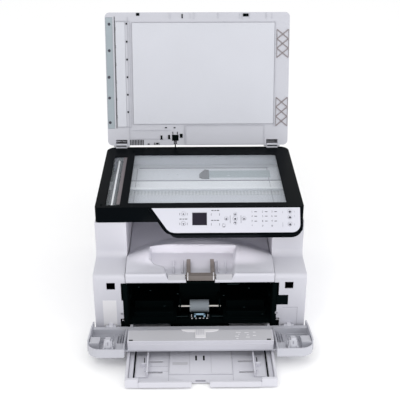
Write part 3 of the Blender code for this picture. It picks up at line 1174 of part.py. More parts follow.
# ---- cassette ------------------------------------------------------------------------------------------
def cassette():
    """Drawn out under the door; its floor runs back into the channel in the base."""
    half = CASSETTE_HALF_WIDTH
    y = (CASSETTE_FRONT, CASSETTE_FRONT + CASSETTE_LENGTH)
    low = CASSETTE_BOTTOM
    tray = box("cassette_tray", (-half, half), y, (low, low + CASSETTE_WALL_HEIGHT))
    cut(tray, box("tray_inside", (-half + CASSETTE_SIDE, half - CASSETTE_SIDE),
                  (y[0] + CASSETTE_FRONT_WALL, y[1] + WALL),
                  (low + CASSETTE_FLOOR, low + CASSETTE_WALL_HEIGHT + WALL), CUTTERS),
        box("tray_front_drop", CASSETTE_LIP_X, (y[0] - WALL, y[0] + CASSETTE_FRONT_WALL + 0.0001),
            (low + CASSETTE_LIP, low + CASSETTE_WALL_HEIGHT + WALL), CUTTERS),
        box("tray_grip", GRIP_X, (y[0] - WALL, y[0] + GRIP_DEPTH), (-WALL, 2 * BASE_HEIGHT), CUTTERS))
    guide_y = (y[0] + GUIDE_START, y[0] + GUIDE_START + GUIDE_LENGTH)
    for side in (-1, 1):
        for index in (0, 1):
            middle = guide_y[0] + GUIDE_LENGTH * (0.25 + 0.5 * index)
            x = sorted((side * (GUIDE_FENCE + 0.012), side * (GUIDE_FENCE + 0.008 - GUIDE_TRAVEL)))
            cut(tray, box(f"guide_slot_{side}_{index}", x, (middle - 0.002, middle + 0.002),
                          (0, low + 2 * CASSETTE_FLOOR), CUTTERS))
    paint("black", tray)
    home = Vector((0, y[0], low))
    slide = pivot("cassette_slide", home)
    hang(slide, home, tray)
    top = low + CASSETTE_FLOOR
    plate_y = (y[0] + PLATE_START, y[0] + PLATE_START + LIFT_PLATE_LENGTH)
    plate = box("lift_plate", (-LIFT_PLATE_HALF_WIDTH, LIFT_PLATE_HALF_WIDTH), plate_y,
                (top + GAP, top + GAP + 0.0015))
    for index in (-1, 1):
        cut(plate, box(f"plate_slot_{index}", (index * 0.0075 - 0.0015, index * 0.0075 + 0.0015),
                       (plate_y[0] + 0.038, plate_y[0] + 0.052), (0, BASE_HEIGHT), CUTTERS))
    paint("grey", plate)
    ride(slide, home, "lift_plate_hinge", Vector((0, plate_y[1], top + GAP)), plate)
    for name, side in (("width_guide_left", -1), ("width_guide_right", 1)):
        edge = side * GUIDE_FENCE
        base_x = sorted((edge, edge + side * 0.022))
        base = top + GAP
        guide = box(name, base_x, guide_y, (base, base + 0.002))
        fence_x = sorted((edge, edge + side * 0.0025))
        join(guide, box(name + "_fence", fence_x, guide_y, (base, base + 0.0135), CUTTERS))
        for index in (0, 1):
            middle = guide_y[0] + GUIDE_LENGTH * (0.25 + 0.5 * index)
            foot_x = sorted((edge + side * 0.0085, edge + side * 0.0115))
            join(guide, box(f"{name}_foot_{index}", foot_x, (middle - 0.0015, middle + 0.0015),
                            (low + 0.0005, base + 0.001), CUTTERS))
        paint("grey", guide)
        ride(slide, home, name + "_slide", Vector((edge, guide_y[0], base)), guide)


def ride(parent, parent_home, name, home, made):
    """A joint inside the cassette: its empty rides on the cassette's empty."""
    empty = pivot(name, home - parent_home)
    empty.parent = parent
    hang(empty, home, made)


clear_scene()
MATERIALS = make_materials()
scanner_bezel()
scanner_glass()
scanner_tub()
scan_carriage()
control_panel()
lid()
hinge_posts()
lid_cable()
base_frame()
side_covers()
exit_deck()
paper_stop()
exit_housing()
cavity_liner()
pick_unit()
rear_cover()
front_door()
cassette()
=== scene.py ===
# %% [markdown]
# A desktop copier, opened up: the feeder lid stands up, the front door is folded down and the
# paper cassette is drawn out. The frame holds every part at its true size, so each piece below
# takes its place from a frame part and rides on the body that it belongs to.

# %% Load the frame
import json
import math

import bmesh
import bpy
from mathutils import Matrix, Vector


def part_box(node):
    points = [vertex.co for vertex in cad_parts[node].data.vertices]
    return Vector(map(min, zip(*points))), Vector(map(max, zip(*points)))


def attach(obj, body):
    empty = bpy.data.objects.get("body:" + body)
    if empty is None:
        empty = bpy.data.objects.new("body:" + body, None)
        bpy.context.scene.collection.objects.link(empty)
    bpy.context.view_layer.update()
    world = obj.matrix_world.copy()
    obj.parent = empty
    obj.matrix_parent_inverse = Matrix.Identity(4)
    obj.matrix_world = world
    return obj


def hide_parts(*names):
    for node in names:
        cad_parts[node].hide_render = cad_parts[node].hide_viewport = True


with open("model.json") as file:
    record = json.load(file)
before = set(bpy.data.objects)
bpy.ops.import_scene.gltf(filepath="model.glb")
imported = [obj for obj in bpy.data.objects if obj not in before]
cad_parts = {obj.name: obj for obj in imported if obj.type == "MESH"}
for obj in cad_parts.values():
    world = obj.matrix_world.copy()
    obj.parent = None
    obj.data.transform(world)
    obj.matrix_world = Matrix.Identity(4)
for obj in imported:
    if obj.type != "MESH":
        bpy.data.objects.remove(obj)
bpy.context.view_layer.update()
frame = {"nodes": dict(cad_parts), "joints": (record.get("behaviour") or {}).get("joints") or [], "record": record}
JOINTS = {joint["name"]: joint for joint in frame["joints"]}
BODY_OF = {node: body for body, nodes in frame["record"]["behaviour"]["bodies"].items() for node in nodes}
MM = 0.001


def box_mm(node):
    """A frame part's lowest and highest corners, in millimetres."""
    low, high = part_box(node)
    return Vector(low) / MM, Vector(high) / MM


# %% [markdown]
# The camera looks a little down on the front. Its place is measured from the scanner's front
# edge, so the view stays right if the copier is made larger. The plain "Standard" view transform
# keeps white plastic white, where a film-like one would grey it.

# %% Camera
SCANNER_LOW, SCANNER_HIGH = box_mm("scanner_bezel")
CAMERA_BACK = 1352.5         # in front of the scanner's front edge
CAMERA_RISE = 709.4          # above the scanner's top
CAMERA_SIDE = -16.5
CAMERA_TILT = math.radians(27.16)
CAMERA_YAW = math.radians(0.74)

camera_data = bpy.data.cameras.new("camera")
camera_data.lens = 72.2
camera_data.sensor_width = 36.0
camera = bpy.data.objects.new("camera", camera_data)
camera.location = Vector((CAMERA_SIDE, SCANNER_LOW.y - CAMERA_BACK, SCANNER_HIGH.z + CAMERA_RISE)) * MM
camera.rotation_euler = (math.pi / 2 - CAMERA_TILT, 0.0, -CAMERA_YAW)
bpy.context.scene.collection.objects.link(camera)
bpy.context.scene.camera = camera
bpy.context.scene.view_settings.view_transform = "Standard"
print("camera stands at", [round(value, 3) for value in camera.location], "m")

# %% [markdown]
# White machines on a white ground need soft light from a large source on one side and a weaker
# one on the other, so that each face of the housing has its own grey.

# %% Lights and floor
def area_light(name, place, aim, size, power, colour=(1.0, 1.0, 1.0)):
    lamp = bpy.data.lights.new(name, "AREA")
    lamp.shape = "DISK"
    lamp.size = size
    lamp.energy = power
    lamp.color = colour
    made = bpy.data.objects.new(name, lamp)
    made.location = place
    made.rotation_euler = (Vector(aim) - Vector(place)).to_track_quat("-Z", "Y").to_euler()
    bpy.context.scene.collection.objects.link(made)
    return made


MIDDLE = (0.0, 0.0, 0.15)
area_light("key", (-0.8, -1.2, 1.8), MIDDLE, 0.9, 6.0)
area_light("fill", (0.1, -1.7, 0.30), MIDDLE, 0.7, 2.5, (1.0, 0.98, 0.99))
area_light("side", (1.5, -0.9, 0.7), MIDDLE, 1.2, 7.5, (0.96, 0.97, 1.0))
# A faint strip under the scanner stands for the light that the real bay's white walls pass on.
bay_lamp = area_light("bay", (0.0, -0.150, 0.176), (0.0, 0.1, 0.182), 0.23, 0.09, (1.0, 0.94, 0.96))
bay_lamp.data.shape = "RECTANGLE"
bay_lamp.data.size_y = 0.03

world = bpy.data.worlds.new("studio")
world.use_nodes = True
world.node_tree.nodes["Background"].inputs["Color"].default_value = (1.0, 1.0, 1.0, 1.0)
world.node_tree.nodes["Background"].inputs["Strength"].default_value = 1.0
bpy.context.scene.world = world

floor_mesh = bpy.data.meshes.new("floor")
bm = bmesh.new()
bmesh.ops.create_grid(bm, x_segments=1, y_segments=1, size=6.0)
bm.to_mesh(floor_mesh)
bm.free()
floor = bpy.data.objects.new("floor", floor_mesh)
floor.location.z = -0.5 * MM
bpy.context.scene.collection.objects.link(floor)

# %% [markdown]
# Every moulding shows a fine spark-eroded grain and a faint drift of tone. These are small node
# groups, built once: each gives a height, a colour or a mask, and a material places them with its own
# values.

# %% Shared node groups
def new_group(name, inputs, outputs):
    group = bpy.data.node_groups.new(name, "ShaderNodeTree")
    for label, kind, value in inputs:
        socket = group.interface.new_socket(label, in_out="INPUT", socket_type=kind)
        socket.default_value = value
    for label, kind in outputs:
        group.interface.new_socket(label, in_out="OUTPUT", socket_type=kind)
    place = group.nodes.new("ShaderNodeTexCoord").outputs["Object"]
    return group, group.nodes.new("NodeGroupInput"), group.nodes.new("NodeGroupOutput"), place


def math_node(tree, operation, *values):
    """A Math node whose inputs are either numbers or sockets."""
    made = tree.nodes.new("ShaderNodeMath")
    made.operation = operation
    for socket, value in zip(made.inputs, values):
        if isinstance(value, bpy.types.NodeSocket):
            tree.links.new(value, socket)
        else:
            socket.default_value = value
    return made.outputs[0]


def grain_group():
    """A height that changes with a fine speckle."""
    group, given, out, place = new_group("moulded_grain", [("Scale", "NodeSocketFloat", 900.0)],
                                  [("Height", "NodeSocketFloat")])
    fine = group.nodes.new("ShaderNodeTexNoise")
    fine.inputs["Detail"].default_value = 3.0
    fine.inputs["Roughness"].default_value = 0.65
    group.links.new(place, fine.inputs["Vector"])
    group.links.new(given.outputs["Scale"], fine.inputs["Scale"])
    group.links.new(fine.outputs["Fac"], out.inputs["Height"])
    return group


def tone_group():
    """A base colour that drifts a little over a hand's breadth, with a matching shift of roughness."""
    group, given, out, place = new_group("tone_drift", [("Color", "NodeSocketColor", (0.8, 0.8, 0.8, 1.0)),
                                                 ("Drift", "NodeSocketFloat", 0.04)],
                                  [("Color", "NodeSocketColor"), ("Roughness Shift", "NodeSocketFloat")])
    slow = group.nodes.new("ShaderNodeTexNoise")
    slow.inputs["Scale"].default_value = 9.0
    slow.inputs["Detail"].default_value = 2.0
    group.links.new(place, slow.inputs["Vector"])
    span = math_node(group, "MULTIPLY_ADD", slow.outputs["Fac"], 2.0, -1.0)
    shift = math_node(group, "MULTIPLY", span, given.outputs["Drift"])
    tinted = group.nodes.new("ShaderNodeVectorMath")
    tinted.operation = "SCALE"
    group.links.new(given.outputs["Color"], tinted.inputs[0])
    group.links.new(math_node(group, "ADD", shift, 1.0), tinted.inputs["Scale"])
    group.links.new(tinted.outputs[0], out.inputs["Color"])
    group.links.new(shift, out.inputs["Roughness Shift"])
    return group


def stripes_group():
    """A mask of even stripes along one axis: rungs, belt teeth and cable cores."""
    group, given, out, place = new_group("even_stripes", [("Pitch", "NodeSocketFloat", 0.004),
                                                   ("Share", "NodeSocketFloat", 0.5),
                                                   ("Direction", "NodeSocketVector", (1.0, 0.0, 0.0))],
                                  [("Mask", "NodeSocketFloat")])
    along = group.nodes.new("ShaderNodeVectorMath")
    along.operation = "DOT_PRODUCT"
    group.links.new(place, along.inputs[0])
    group.links.new(given.outputs["Direction"], along.inputs[1])
    turns = math_node(group, "DIVIDE", along.outputs["Value"], given.outputs["Pitch"])
    part = math_node(group, "FRACT", turns)
    group.links.new(math_node(group, "LESS_THAN", part, given.outputs["Share"]), out.inputs["Mask"])
    return group


GRAIN = grain_group()
TONE = tone_group()
STRIPES = stripes_group()
print("node groups", [group.name for group in bpy.data.node_groups])

# %% [markdown]
# One recipe makes all the plastics: tone for the colour, grain for the bump, and a roughness that
# follows the tone so that light catches it unevenly. A striped plastic mixes in a second colour
# where the stripe mask says so. Glass and metal have recipes of their own.

# %% Material recipes
def add_group(tree, group, **values):
    made = tree.nodes.new("ShaderNodeGroup")
    made.node_tree = group
    for label, value in values.items():
        made.inputs[label].default_value = value
    return made


def plastic(name, colour, roughness, grain=900.0, depth=0.04 * MM, drift=0.04, coat=0.0, specular=0.5):
    made = bpy.data.materials.new(name)
    made.use_nodes = True
    tree = made.node_tree
    shader = tree.nodes["Principled BSDF"]
    tone = add_group(tree, TONE, Color=(*colour, 1.0), Drift=drift)
    tree.links.new(tone.outputs["Color"], shader.inputs["Base Color"])
    tree.links.new(math_node(tree, "ADD", tone.outputs["Roughness Shift"], roughness),
                   shader.inputs["Roughness"])
    speckle = add_group(tree, GRAIN, Scale=grain)
    bump = tree.nodes.new("ShaderNodeBump")
    bump.inputs["Strength"].default_value = 0.35
    bump.inputs["Distance"].default_value = depth
    tree.links.new(speckle.outputs["Height"], bump.inputs["Height"])
    tree.links.new(bump.outputs["Normal"], shader.inputs["Normal"])
    shader.inputs["Coat Weight"].default_value = coat
    shader.inputs["Coat Roughness"].default_value = 0.08
    shader.inputs["Specular IOR Level"].default_value = specular
    made.diffuse_color = (*colour, 1.0)
    return made


def striped(name, colour, second, pitch, share, direction, roughness):
    """A plastic with even stripes of a second colour."""
    made = plastic(name, colour, roughness)
    tree = made.node_tree
    shader = tree.nodes["Principled BSDF"]
    base = shader.inputs["Base Color"].links[0].from_socket
    mask = add_group(tree, STRIPES, Pitch=pitch, Share=share, Direction=direction)
    mix = tree.nodes.new("ShaderNodeMix")
    mix.data_type = "RGBA"
    mix.inputs["B"].default_value = (*second, 1.0)
    tree.links.new(mask.outputs["Mask"], mix.inputs["Factor"])
    tree.links.new(base, mix.inputs["A"])
    tree.links.new(mix.outputs["Result"], shader.inputs["Base Color"])
    return made


def metal(name, colour, roughness):
    made = plastic(name, colour, roughness, grain=400.0, depth=0.02 * MM, drift=0.06)
    made.node_tree.nodes["Principled BSDF"].inputs["Metallic"].default_value = 1.0
    return made


def clear(name, colour, alpha, roughness=0.02):
    """Thin glass: mostly seen through, with a plain gloss."""
    made = plastic(name, colour, roughness, depth=0.0, drift=0.0)
    shader = made.node_tree.nodes["Principled BSDF"]
    shader.inputs["IOR"].default_value = 1.45
    shader.inputs["Alpha"].default_value = alpha
    return made


# %% [markdown]
# The machine is nearly all white plastic, yet no two mouldings match: the lid, the covers and the
# cassette each get their own pale grey, and the door's darker grey is painted shade. The blacks are
# kept very dark and dull, since a glossy black would mirror the bright surroundings and turn grey.

# %% Materials
WHITE = plastic("shell_white", (0.53, 0.53, 0.58), 0.42)
LID_WHITE = plastic("lid_white", (0.49, 0.495, 0.54), 0.5)
# Darker than the other whites: painted shade on the folded door and its ribs.
DOOR_SHADED_WHITE = plastic("door_painted_shade_white", (0.455, 0.46, 0.505), 0.42)
COVER = plastic("cover_white", (0.57, 0.57, 0.625), 0.5)
CASSETTE = plastic("cassette_white", (0.58, 0.58, 0.63), 0.45)
STICKER = plastic("plain_sticker", (0.68, 0.675, 0.70), 0.35, depth=0.0)
BLACK = plastic("bezel_black", (0.0014, 0.0024, 0.0034), 0.32, specular=0.02)
LINER = plastic("cavity_black", (0.0015, 0.0032, 0.0035), 0.5, specular=0.01)
# Painted highlight: this grey marks glints on edges inside the black cavity.
EDGE = plastic("cavity_painted_glint_grey", (0.016, 0.026, 0.028), 0.5, specular=0.1)
GREY = plastic("guide_grey", (0.46, 0.46, 0.49), 0.5)
# Dark grey for seams, rulers and screw heads, and painted shade where it fills air slots, latch slots and the
# access panel's line.
SEAM_AND_SHADE = plastic("seam_and_painted_shade_grey", (0.26, 0.26, 0.30), 0.7, depth=0.0)
PANEL = plastic("panel_silver", (0.56, 0.565, 0.625), 0.38)
KEY_GREY = plastic("key_grey", (0.56, 0.565, 0.625), 0.4)
INK = plastic("legend_ink", (0.035, 0.035, 0.05), 0.6, depth=0.0)
FOAM = plastic("pad_white", (0.545, 0.555, 0.60), 0.75, grain=500.0, depth=0.1 * MM)
RUBBER = plastic("roller_rubber", (0.012, 0.013, 0.015), 0.8, grain=700.0, depth=0.1 * MM)
ALONG_X = (1.0, 0.0, 0.0)
ALONG_Y = (0.0, 1.0, 0.0)
ROLLER = striped("roller_grey", (0.25, 0.28, 0.31), (0.20, 0.225, 0.25), 1.2 * MM, 0.4, ALONG_X, 0.75)
BLUE = plastic("pad_frame_blue", (0.36, 0.55, 0.70), 0.5)
TAUPE = plastic("stop_taupe", (0.155, 0.135, 0.125), 0.4)
RUNGS = striped("stop_rungs", (0.17, 0.145, 0.135), (0.26, 0.235, 0.225), 4.0 * MM, 0.3, ALONG_Y, 0.4)
SCREEN = plastic("display_dark", (0.018, 0.016, 0.025), 0.22, specular=0.08)
TUB = plastic("tub_light", (0.52, 0.54, 0.59), 0.55)
# Lighter than the front floor: painted reflection of the scanner glass, on the back channel, the pulley block and
# the bosses.
TUB_DEEP_REFLECTED = plastic("tub_deep_painted_reflection", (0.60, 0.62, 0.67), 0.55)
FOLD = plastic("ribbon_fold_grey", (0.15, 0.15, 0.165), 0.6, depth=0.0)
FAINT = plastic("faint_line", (0.40, 0.405, 0.45), 0.5, depth=0.0)
BRACE = plastic("brace_shade", (0.24, 0.21, 0.215), 0.6, depth=0.0)
TUB_BRIGHT = plastic("tub_bright", (0.74, 0.76, 0.80), 0.5)
BELT = striped("belt_teeth", (0.60, 0.62, 0.65), (0.49, 0.51, 0.54), 7.0 * MM, 0.5, ALONG_X, 0.7)
RIBBON = striped("ribbon_cores", (0.42, 0.47, 0.50), (0.31, 0.36, 0.39), 3.0 * MM, 0.5, ALONG_Y, 0.45)
FLAP = plastic("slot_flap_brown", (0.145, 0.125, 0.135), 0.5)
STEEL = metal("steel_bright", (0.60, 0.58, 0.54), 0.3)
STRIP = plastic("strip_green_grey", (0.30, 0.345, 0.375), 0.35, drift=0.10, grain=120.0)
# Near white: painted highlight on the rod lens.
LENS_HIGHLIGHT = plastic("lens_painted_highlight", (0.88, 0.89, 0.92), 0.15, depth=0.0)
GLASS = clear("scan_glass", (0.70, 0.76, 0.80), 0.10)
FILM = clear("slot_film", (0.16, 0.17, 0.20), 0.6)
FLOOR = plastic("floor_white", (0.98, 0.98, 0.98), 0.9, drift=0.0, specular=0.0)
floor.data.materials.append(FLOOR)
print("materials", len(bpy.data.materials))

# %% [markdown]
# New pieces start as bmesh blocks, rods and rings, typed in millimetres in a local frame: the
# body's own axes, the closed lid or the slope of the control panel. show() scales the finished
# mesh to metres and one matrix carries it to its place, so a lid detail is typed flat and still
# rides on the open lid.

# %% Building helpers
ORIGIN = (0, 0, 0)
UPRIGHT = {"X": Matrix.Rotation(math.pi / 2, 3, "Y"), "Y": Matrix.Rotation(-math.pi / 2, 3, "X"),
           "Z": Matrix.Identity(3)}


def about(middle, half):
    """The two limits of a span, from its middle."""
    return middle - half, middle + half


def add_block(bm, *spans):
    """A block between two limits along each axis, given in either order."""
    low, high = [Vector(corner) for corner in zip(*(sorted(span) for span in spans))]
    verts = bmesh.ops.create_cube(bm, size=1)["verts"]
    bmesh.ops.scale(bm, vec=high - low, verts=verts)
    bmesh.ops.translate(bm, vec=(low + high) / 2, verts=verts)


def add_frame(bm, x, y, z, line):
    """Four thin blocks round a rectangle."""
    for low in (y[0], y[1] - line):
        add_block(bm, x, (low, low + line), z)
    for low in (x[0], x[1] - line):
        add_block(bm, (low, low + line), (y[0] + line, y[1] - line), z)


def add_rod(bm, axis, centre, radius, low, high, segments=20):
    """A round bar along an axis; centre holds the other two coordinates in X, Y, Z order."""
    verts = bmesh.ops.create_cone(bm, cap_ends=True, segments=segments, radius1=radius,
                                  radius2=radius, depth=high - low)["verts"]
    bmesh.ops.rotate(bm, cent=ORIGIN, matrix=UPRIGHT[axis], verts=verts)
    middle = list(centre)
    middle.insert("XYZ".index(axis), (low + high) / 2)
    bmesh.ops.translate(bm, vec=middle, verts=verts)
    return verts


def add_screw(bm, axis, centre, radius, low, high):
    """A screw head whose ends are pressed in."""
    verts = add_rod(bm, axis, centre, radius, low, high, segments=16)
    caps = [face for face in bm.faces if len(face.verts) == 16 and all(vert in verts for vert in face.verts)]
    bmesh.ops.inset_individual(bm, faces=caps, thickness=radius * 0.45, depth=-abs(high - low) * 0.4)


def raise_faces(bm, height):
    """Gives flat faces a thickness."""
    lifted = bmesh.ops.extrude_face_region(bm, geom=bm.faces[:])
    bmesh.ops.translate(bm, vec=(0, 0, height), verts=[part for part in lifted["geom"]
                                                       if isinstance(part, bmesh.types.BMVert)])
    bmesh.ops.recalc_face_normals(bm, faces=bm.faces)


def show(name, bm, look, node, stands_for=(), body=None, smooth=35, place=None, edge=0, unit=MM):
    """Turns a bmesh into a piece that takes its body from a frame part, unless it is told one.

    The edge is the width of a Bevel modifier, in millimetres.
    """
    bmesh.ops.scale(bm, vec=(unit, unit, unit), verts=bm.verts)
    if place is not None:
        bmesh.ops.transform(bm, matrix=place, verts=bm.verts)
    mesh = bpy.data.meshes.new(name)
    bm.to_mesh(mesh)
    bm.free()
    made = bpy.data.objects.new(name, mesh)
    bpy.context.scene.collection.objects.link(made)
    mesh.materials.append(look)
    mesh.shade_smooth()
    mesh.set_sharp_from_angle(angle=math.radians(smooth))
    if edge:
        bevel = made.modifiers.new("edge", "BEVEL")
        bevel.width = edge * MM
        bevel.segments = 2
        bevel.limit_method = "ANGLE"
        bevel.angle_limit = math.radians(35)
        bevel.harden_normals = True
        bevel.use_clamp_overlap = True
    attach(made, body or BODY_OF[node])
    if stands_for:
        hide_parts(*stands_for)
    return made


def show_blocks(name, look, node, rows, place=None, edge=0, body=None):
    """A piece made of blocks: each row holds its X, Y and Z limits."""
    bm = bmesh.new()
    for row in rows:
        add_block(bm, *row)
    show(name, bm, look, node, body=body, place=place, edge=edge)


def turned_box(node, turn):
    """A frame part's limits in a turned frame, in millimetres."""
    points = [turn.inverted() @ vert.co for vert in frame["nodes"][node].data.vertices]
    low = Vector([min(point[axis] for point in points) for axis in range(3)])
    high = Vector([max(point[axis] for point in points) for axis in range(3)])
    return low / MM, high / MM


# %% [markdown]
# The frame's parts have knife edges. A moulded part has small radii that catch the light, so each
# visible housing is remade here as a cleaned copy of its frame part, all but the lid's plate bevelled.
# The small dark parts and the glass keep the frame's mesh and only take a material.

# %% Rounded copies of the housings
def merged_copy(node):
    """The frame part's surface with its loose triangles joined into flat faces."""
    bm = bmesh.new()
    bm.from_mesh(frame["nodes"][node].data)
    bmesh.ops.remove_doubles(bm, verts=bm.verts, dist=0.01 * MM)
    bmesh.ops.dissolve_limit(bm, angle_limit=math.radians(1), verts=bm.verts, edges=bm.edges)
    return bm


HOUSINGS = {          # material and width of the edge's bevel
    "side_cover_left": (WHITE, 1.6), "side_cover_right": (WHITE, 1.6),
    "rear_cover": (COVER, 0.5), "rear_door": (COVER, 0.8),
    "scanner_bezel": (BLACK, 0.6), "panel_housing": (BLACK, 1.6), "control_panel": (PANEL, 0.3),
    "lid_plate": (LID_WHITE, 0), "lid_cover": (WHITE, 1.6), "pressure_pad": (FOAM, 0.6),
    "feeder_pad": (FOAM, 0.5), "feeder_housing": (WHITE, 0.8), "feeder_cover": (WHITE, 1.4),
    "feeder_tray": (WHITE, 0.8), "feeder_guide_front": (GREY, 0.5), "feeder_guide_back": (GREY, 0.5),
    "door_panel": (DOOR_SHADED_WHITE, 1), "paper_block": (WHITE, 1), "cassette_tray": (CASSETTE, 0.6),
    "width_guide_left": (CASSETTE, 0.5), "width_guide_right": (CASSETTE, 0.5),
    "lift_plate": (CASSETTE, 0.3), "paper_stop": (TAUPE, 0.5), "pad_holder": (LINER, 0.5),
    "hinge_post_1": (LID_WHITE, 0.5), "hinge_post_2": (LID_WHITE, 0.5), "roller_bracket": (LINER, 0.4),
    "lid_strip": (STRIP, 0.3), "scan_carriage": (LINER, 0.6), "lid_connector": (LINER, 0.6),
    "exit_housing": (COVER, 0.5), "power_inlet": (LINER, 0.4), "power_switch": (LINER, 0.3),
}
for node_name, (look, width) in HOUSINGS.items():
    show(node_name + "_moulded", merged_copy(node_name), look, node_name, (node_name,),
         smooth=40 if width else 8, edge=width, unit=1)

PLAIN = {
    "base_frame": LINER, "cavity_liner": LINER, "scanner_tub": TUB, "exit_roller": RUBBER,
    "transfer_roller": RUBBER, "pickup_roller": ROLLER, "pickup_shaft": STEEL, "separation_pad": RUBBER,
    "feeder_roller": RUBBER, "scan_rail": TUB_BRIGHT, "display": SCREEN, "platen_glass": GLASS,
    "feeder_glass": GLASS, "lid_cable": LINER,
}
for node_name in frame["nodes"]:
    look = KEY_GREY if node_name.startswith("key_") else PLAIN.get(node_name)
    if look is not None:
        for slot in frame["nodes"][node_name].material_slots:
            slot.material = look
print("moulded copies", len(HOUSINGS), "plain parts", len(PLAIN))

# %% [markdown]
# The output deck is one soft moulding: a shelf with a rolled front edge, a crest and a sunk well
# whose sides slope. A grid whose points follow a height formula makes such a surface, and Solidify
# gives it a wall. The well's outline is a polygon, and the distance to it sets the slope.

# %% Heights of the output deck
DECK_LOW, DECK_HIGH = box_mm("exit_deck")
TOWER_ABOVE_SHELF = 72.7
SHELF = box_mm("side_cover_left")[1].z - TOWER_ABOVE_SHELF
WELL = ((-62, -190), (63, -190), (63, -165), (72, -84), (-98, -80), (-97, -126), (-86, -141), (-68, -150))
WELL_DEPTH = 9
WELL_SLOPE = 6           # width of the well's sloped side
RIM_REACH = 4            # how far out the well's raised rim fades
CREST = 6                # the crest's height above the shelf
CREST_PLACE = 36         # behind the scanner's front edge, at the middle
CREST_BOW = 62           # how much nearer it comes at the sides
RISE_LENGTH = 55
FALL_LENGTH = 70
BAY_DROP = 13.5            # the bay's floor below the shelf


def outline_distance(x, y, corners):
    """Distance to a closed outline, positive inside it."""
    inside = False
    nearest = math.inf
    for index, (ax, ay) in enumerate(corners):
        bx, by = corners[index - 1]
        if (ay > y) != (by > y) and x < (bx - ax) * (y - ay) / (by - ay) + ax:
            inside = not inside
        length = (bx - ax) ** 2 + (by - ay) ** 2
        share = max(0, min(1, ((x - ax) * (bx - ax) + (y - ay) * (by - ay)) / length))
        nearest = min(nearest, math.hypot(x - ax - share * (bx - ax), y - ay - share * (by - ay)))
    return nearest if inside else -nearest


def ease(value):
    """A smooth step from 0 to 1."""
    value = max(0, min(1, value))
    return value * value * (3 - 2 * value)


def well_share(x, y):
    """0 on the shelf, 1 on the well's floor, and between them on its side."""
    return ease((outline_distance(x, y, WELL) + 2) / WELL_SLOPE)


def deck_surface(x, y):
    """Shelf, crest and fall to the bay, with the sloped well sunk into them."""
    crest = SCANNER_LOW.y + CREST_PLACE - CREST_BOW * (x / DECK_HIGH.x) ** 2
    rise = ease((y - crest + RISE_LENGTH) / RISE_LENGTH) * CREST
    fall = ease((y - crest) / FALL_LENGTH) * (CREST + BAY_DROP)
    ground = SHELF + (rise if y < crest else CREST) - fall
    rim = math.exp(-((outline_distance(x, y, WELL) + RIM_REACH) / RIM_REACH) ** 2)
    sink = well_share(x, y)
    return (ground + rim) * (1 - sink) + (SHELF - WELL_DEPTH) * sink


print("shelf", round(SHELF, 1), "mm up, bay floor", round(deck_surface(0, DECK_HIGH.y), 1))

# %% [markdown]
# The grid is laid over the deck like a cloth: its first rows stand up the front, the next bend
# over the rolled lip and the rest lie on the height formula. The faces where the paper stop turns
# are then cut away.

# %% Output deck
DECK_CELLS = 150
LIP_RADIUS = 3.5
LIP_HEIGHT = 2
LIP_FADE = 9
STOP_GAP = (-26.4, 28.9)   # left open for the paper stop
STOP_GAP_DEPTH = 13.0
front = DECK_LOW.y
bend = front + LIP_RADIUS
foot = DECK_LOW.z + 0.5
roll = LIP_RADIUS * math.pi / 2
drop = SHELF + 2.5 - LIP_RADIUS - foot
length = drop + roll + DECK_HIGH.y - bend

bm = bmesh.new()
bmesh.ops.create_grid(bm, x_segments=DECK_CELLS, y_segments=DECK_CELLS, size=0.5)
for vert in bm.verts:
    x = vert.co.x * 2 * (DECK_HIGH.x - 0.5)
    along = (vert.co.y + 0.5) * length
    shoulder = deck_surface(x, bend) + LIP_HEIGHT * (1 - well_share(x, bend)) - LIP_RADIUS
    if along < drop:
        vert.co = (x, front, foot + along / drop * (shoulder - foot))
    elif along < drop + roll:
        angle = (along - drop) / LIP_RADIUS
        vert.co = (x, bend - LIP_RADIUS * math.cos(angle), shoulder + LIP_RADIUS * math.sin(angle))
    else:
        y = bend + along - drop - roll
        lip = LIP_HEIGHT * (1 - ease((y - bend) / LIP_FADE)) if outline_distance(x, y, WELL) <= -1 else 0
        vert.co = (x, y, deck_surface(x, y) + lip)
middles = [(face, face.calc_center_median()) for face in bm.faces]
notched = [face for face, middle in middles
           if STOP_GAP[0] < middle.x < STOP_GAP[1] and middle.y < front + STOP_GAP_DEPTH]
bmesh.ops.delete(bm, geom=notched, context="FACES")
deck = show("exit_deck_moulded", bm, COVER, "exit_deck", ("exit_deck",), smooth=60)
wall = deck.modifiers.new("wall", "SOLIDIFY")
wall.thickness = 1.6 * MM
wall.offset = -1
print("deck faces", len(deck.data.polygons))

# %% [markdown]
# The well holds ribs that carry the first sheets, a low wall closes its front, and the brown paper
# stop has ladder-like rungs on its two arms with bright edges round them.

# %% Well and paper stop
STOP_LOW, STOP_HIGH = box_mm("paper_stop")
show_blocks("well_front_wall", GREY, "exit_deck", [
    (x, (front + 0.6, front + 3.2), (DECK_LOW.z + 1, SHELF + 1.2))
    for x in ((-60, -28.2), (30.6, 61))], edge=0.4)
well_floor = SHELF - WELL_DEPTH
rows = [(about(x, 1.2), (front + 20, front + 66), (well_floor - 0.4, well_floor + 4.2))
        for x in (-50, -33.5, 36, 50)]
rows += [(about(x, 1.4), (front + 14, front + 62), (well_floor - 0.4, well_floor + 2.4))
         for x in (-28, 30.4)]
show_blocks("well_ribs", COVER, "exit_deck", rows, edge=0.9)
stop_top = STOP_HIGH.z - 0.2
show_blocks("paper_stop_rungs", RUNGS, "paper_stop", [
    (x, (front + 15, STOP_HIGH.y - 0.8), (stop_top, stop_top + 0.7))
    for x in ((-25.2, -18), (20.4, 27.6))], edge=0.3)
rows = []
for x in (-23, 25.4):
    rows += [(about(x, 0.9), (front - 1.3, front - 0.2), (STOP_LOW.z + 1, STOP_HIGH.z + 0.6)),
             (about(x, 0.9), (front - 1.3, front + 11), (stop_top, STOP_HIGH.z + 0.6))]
show_blocks("paper_stop_edges", STICKER, "paper_stop", rows, edge=0.3)
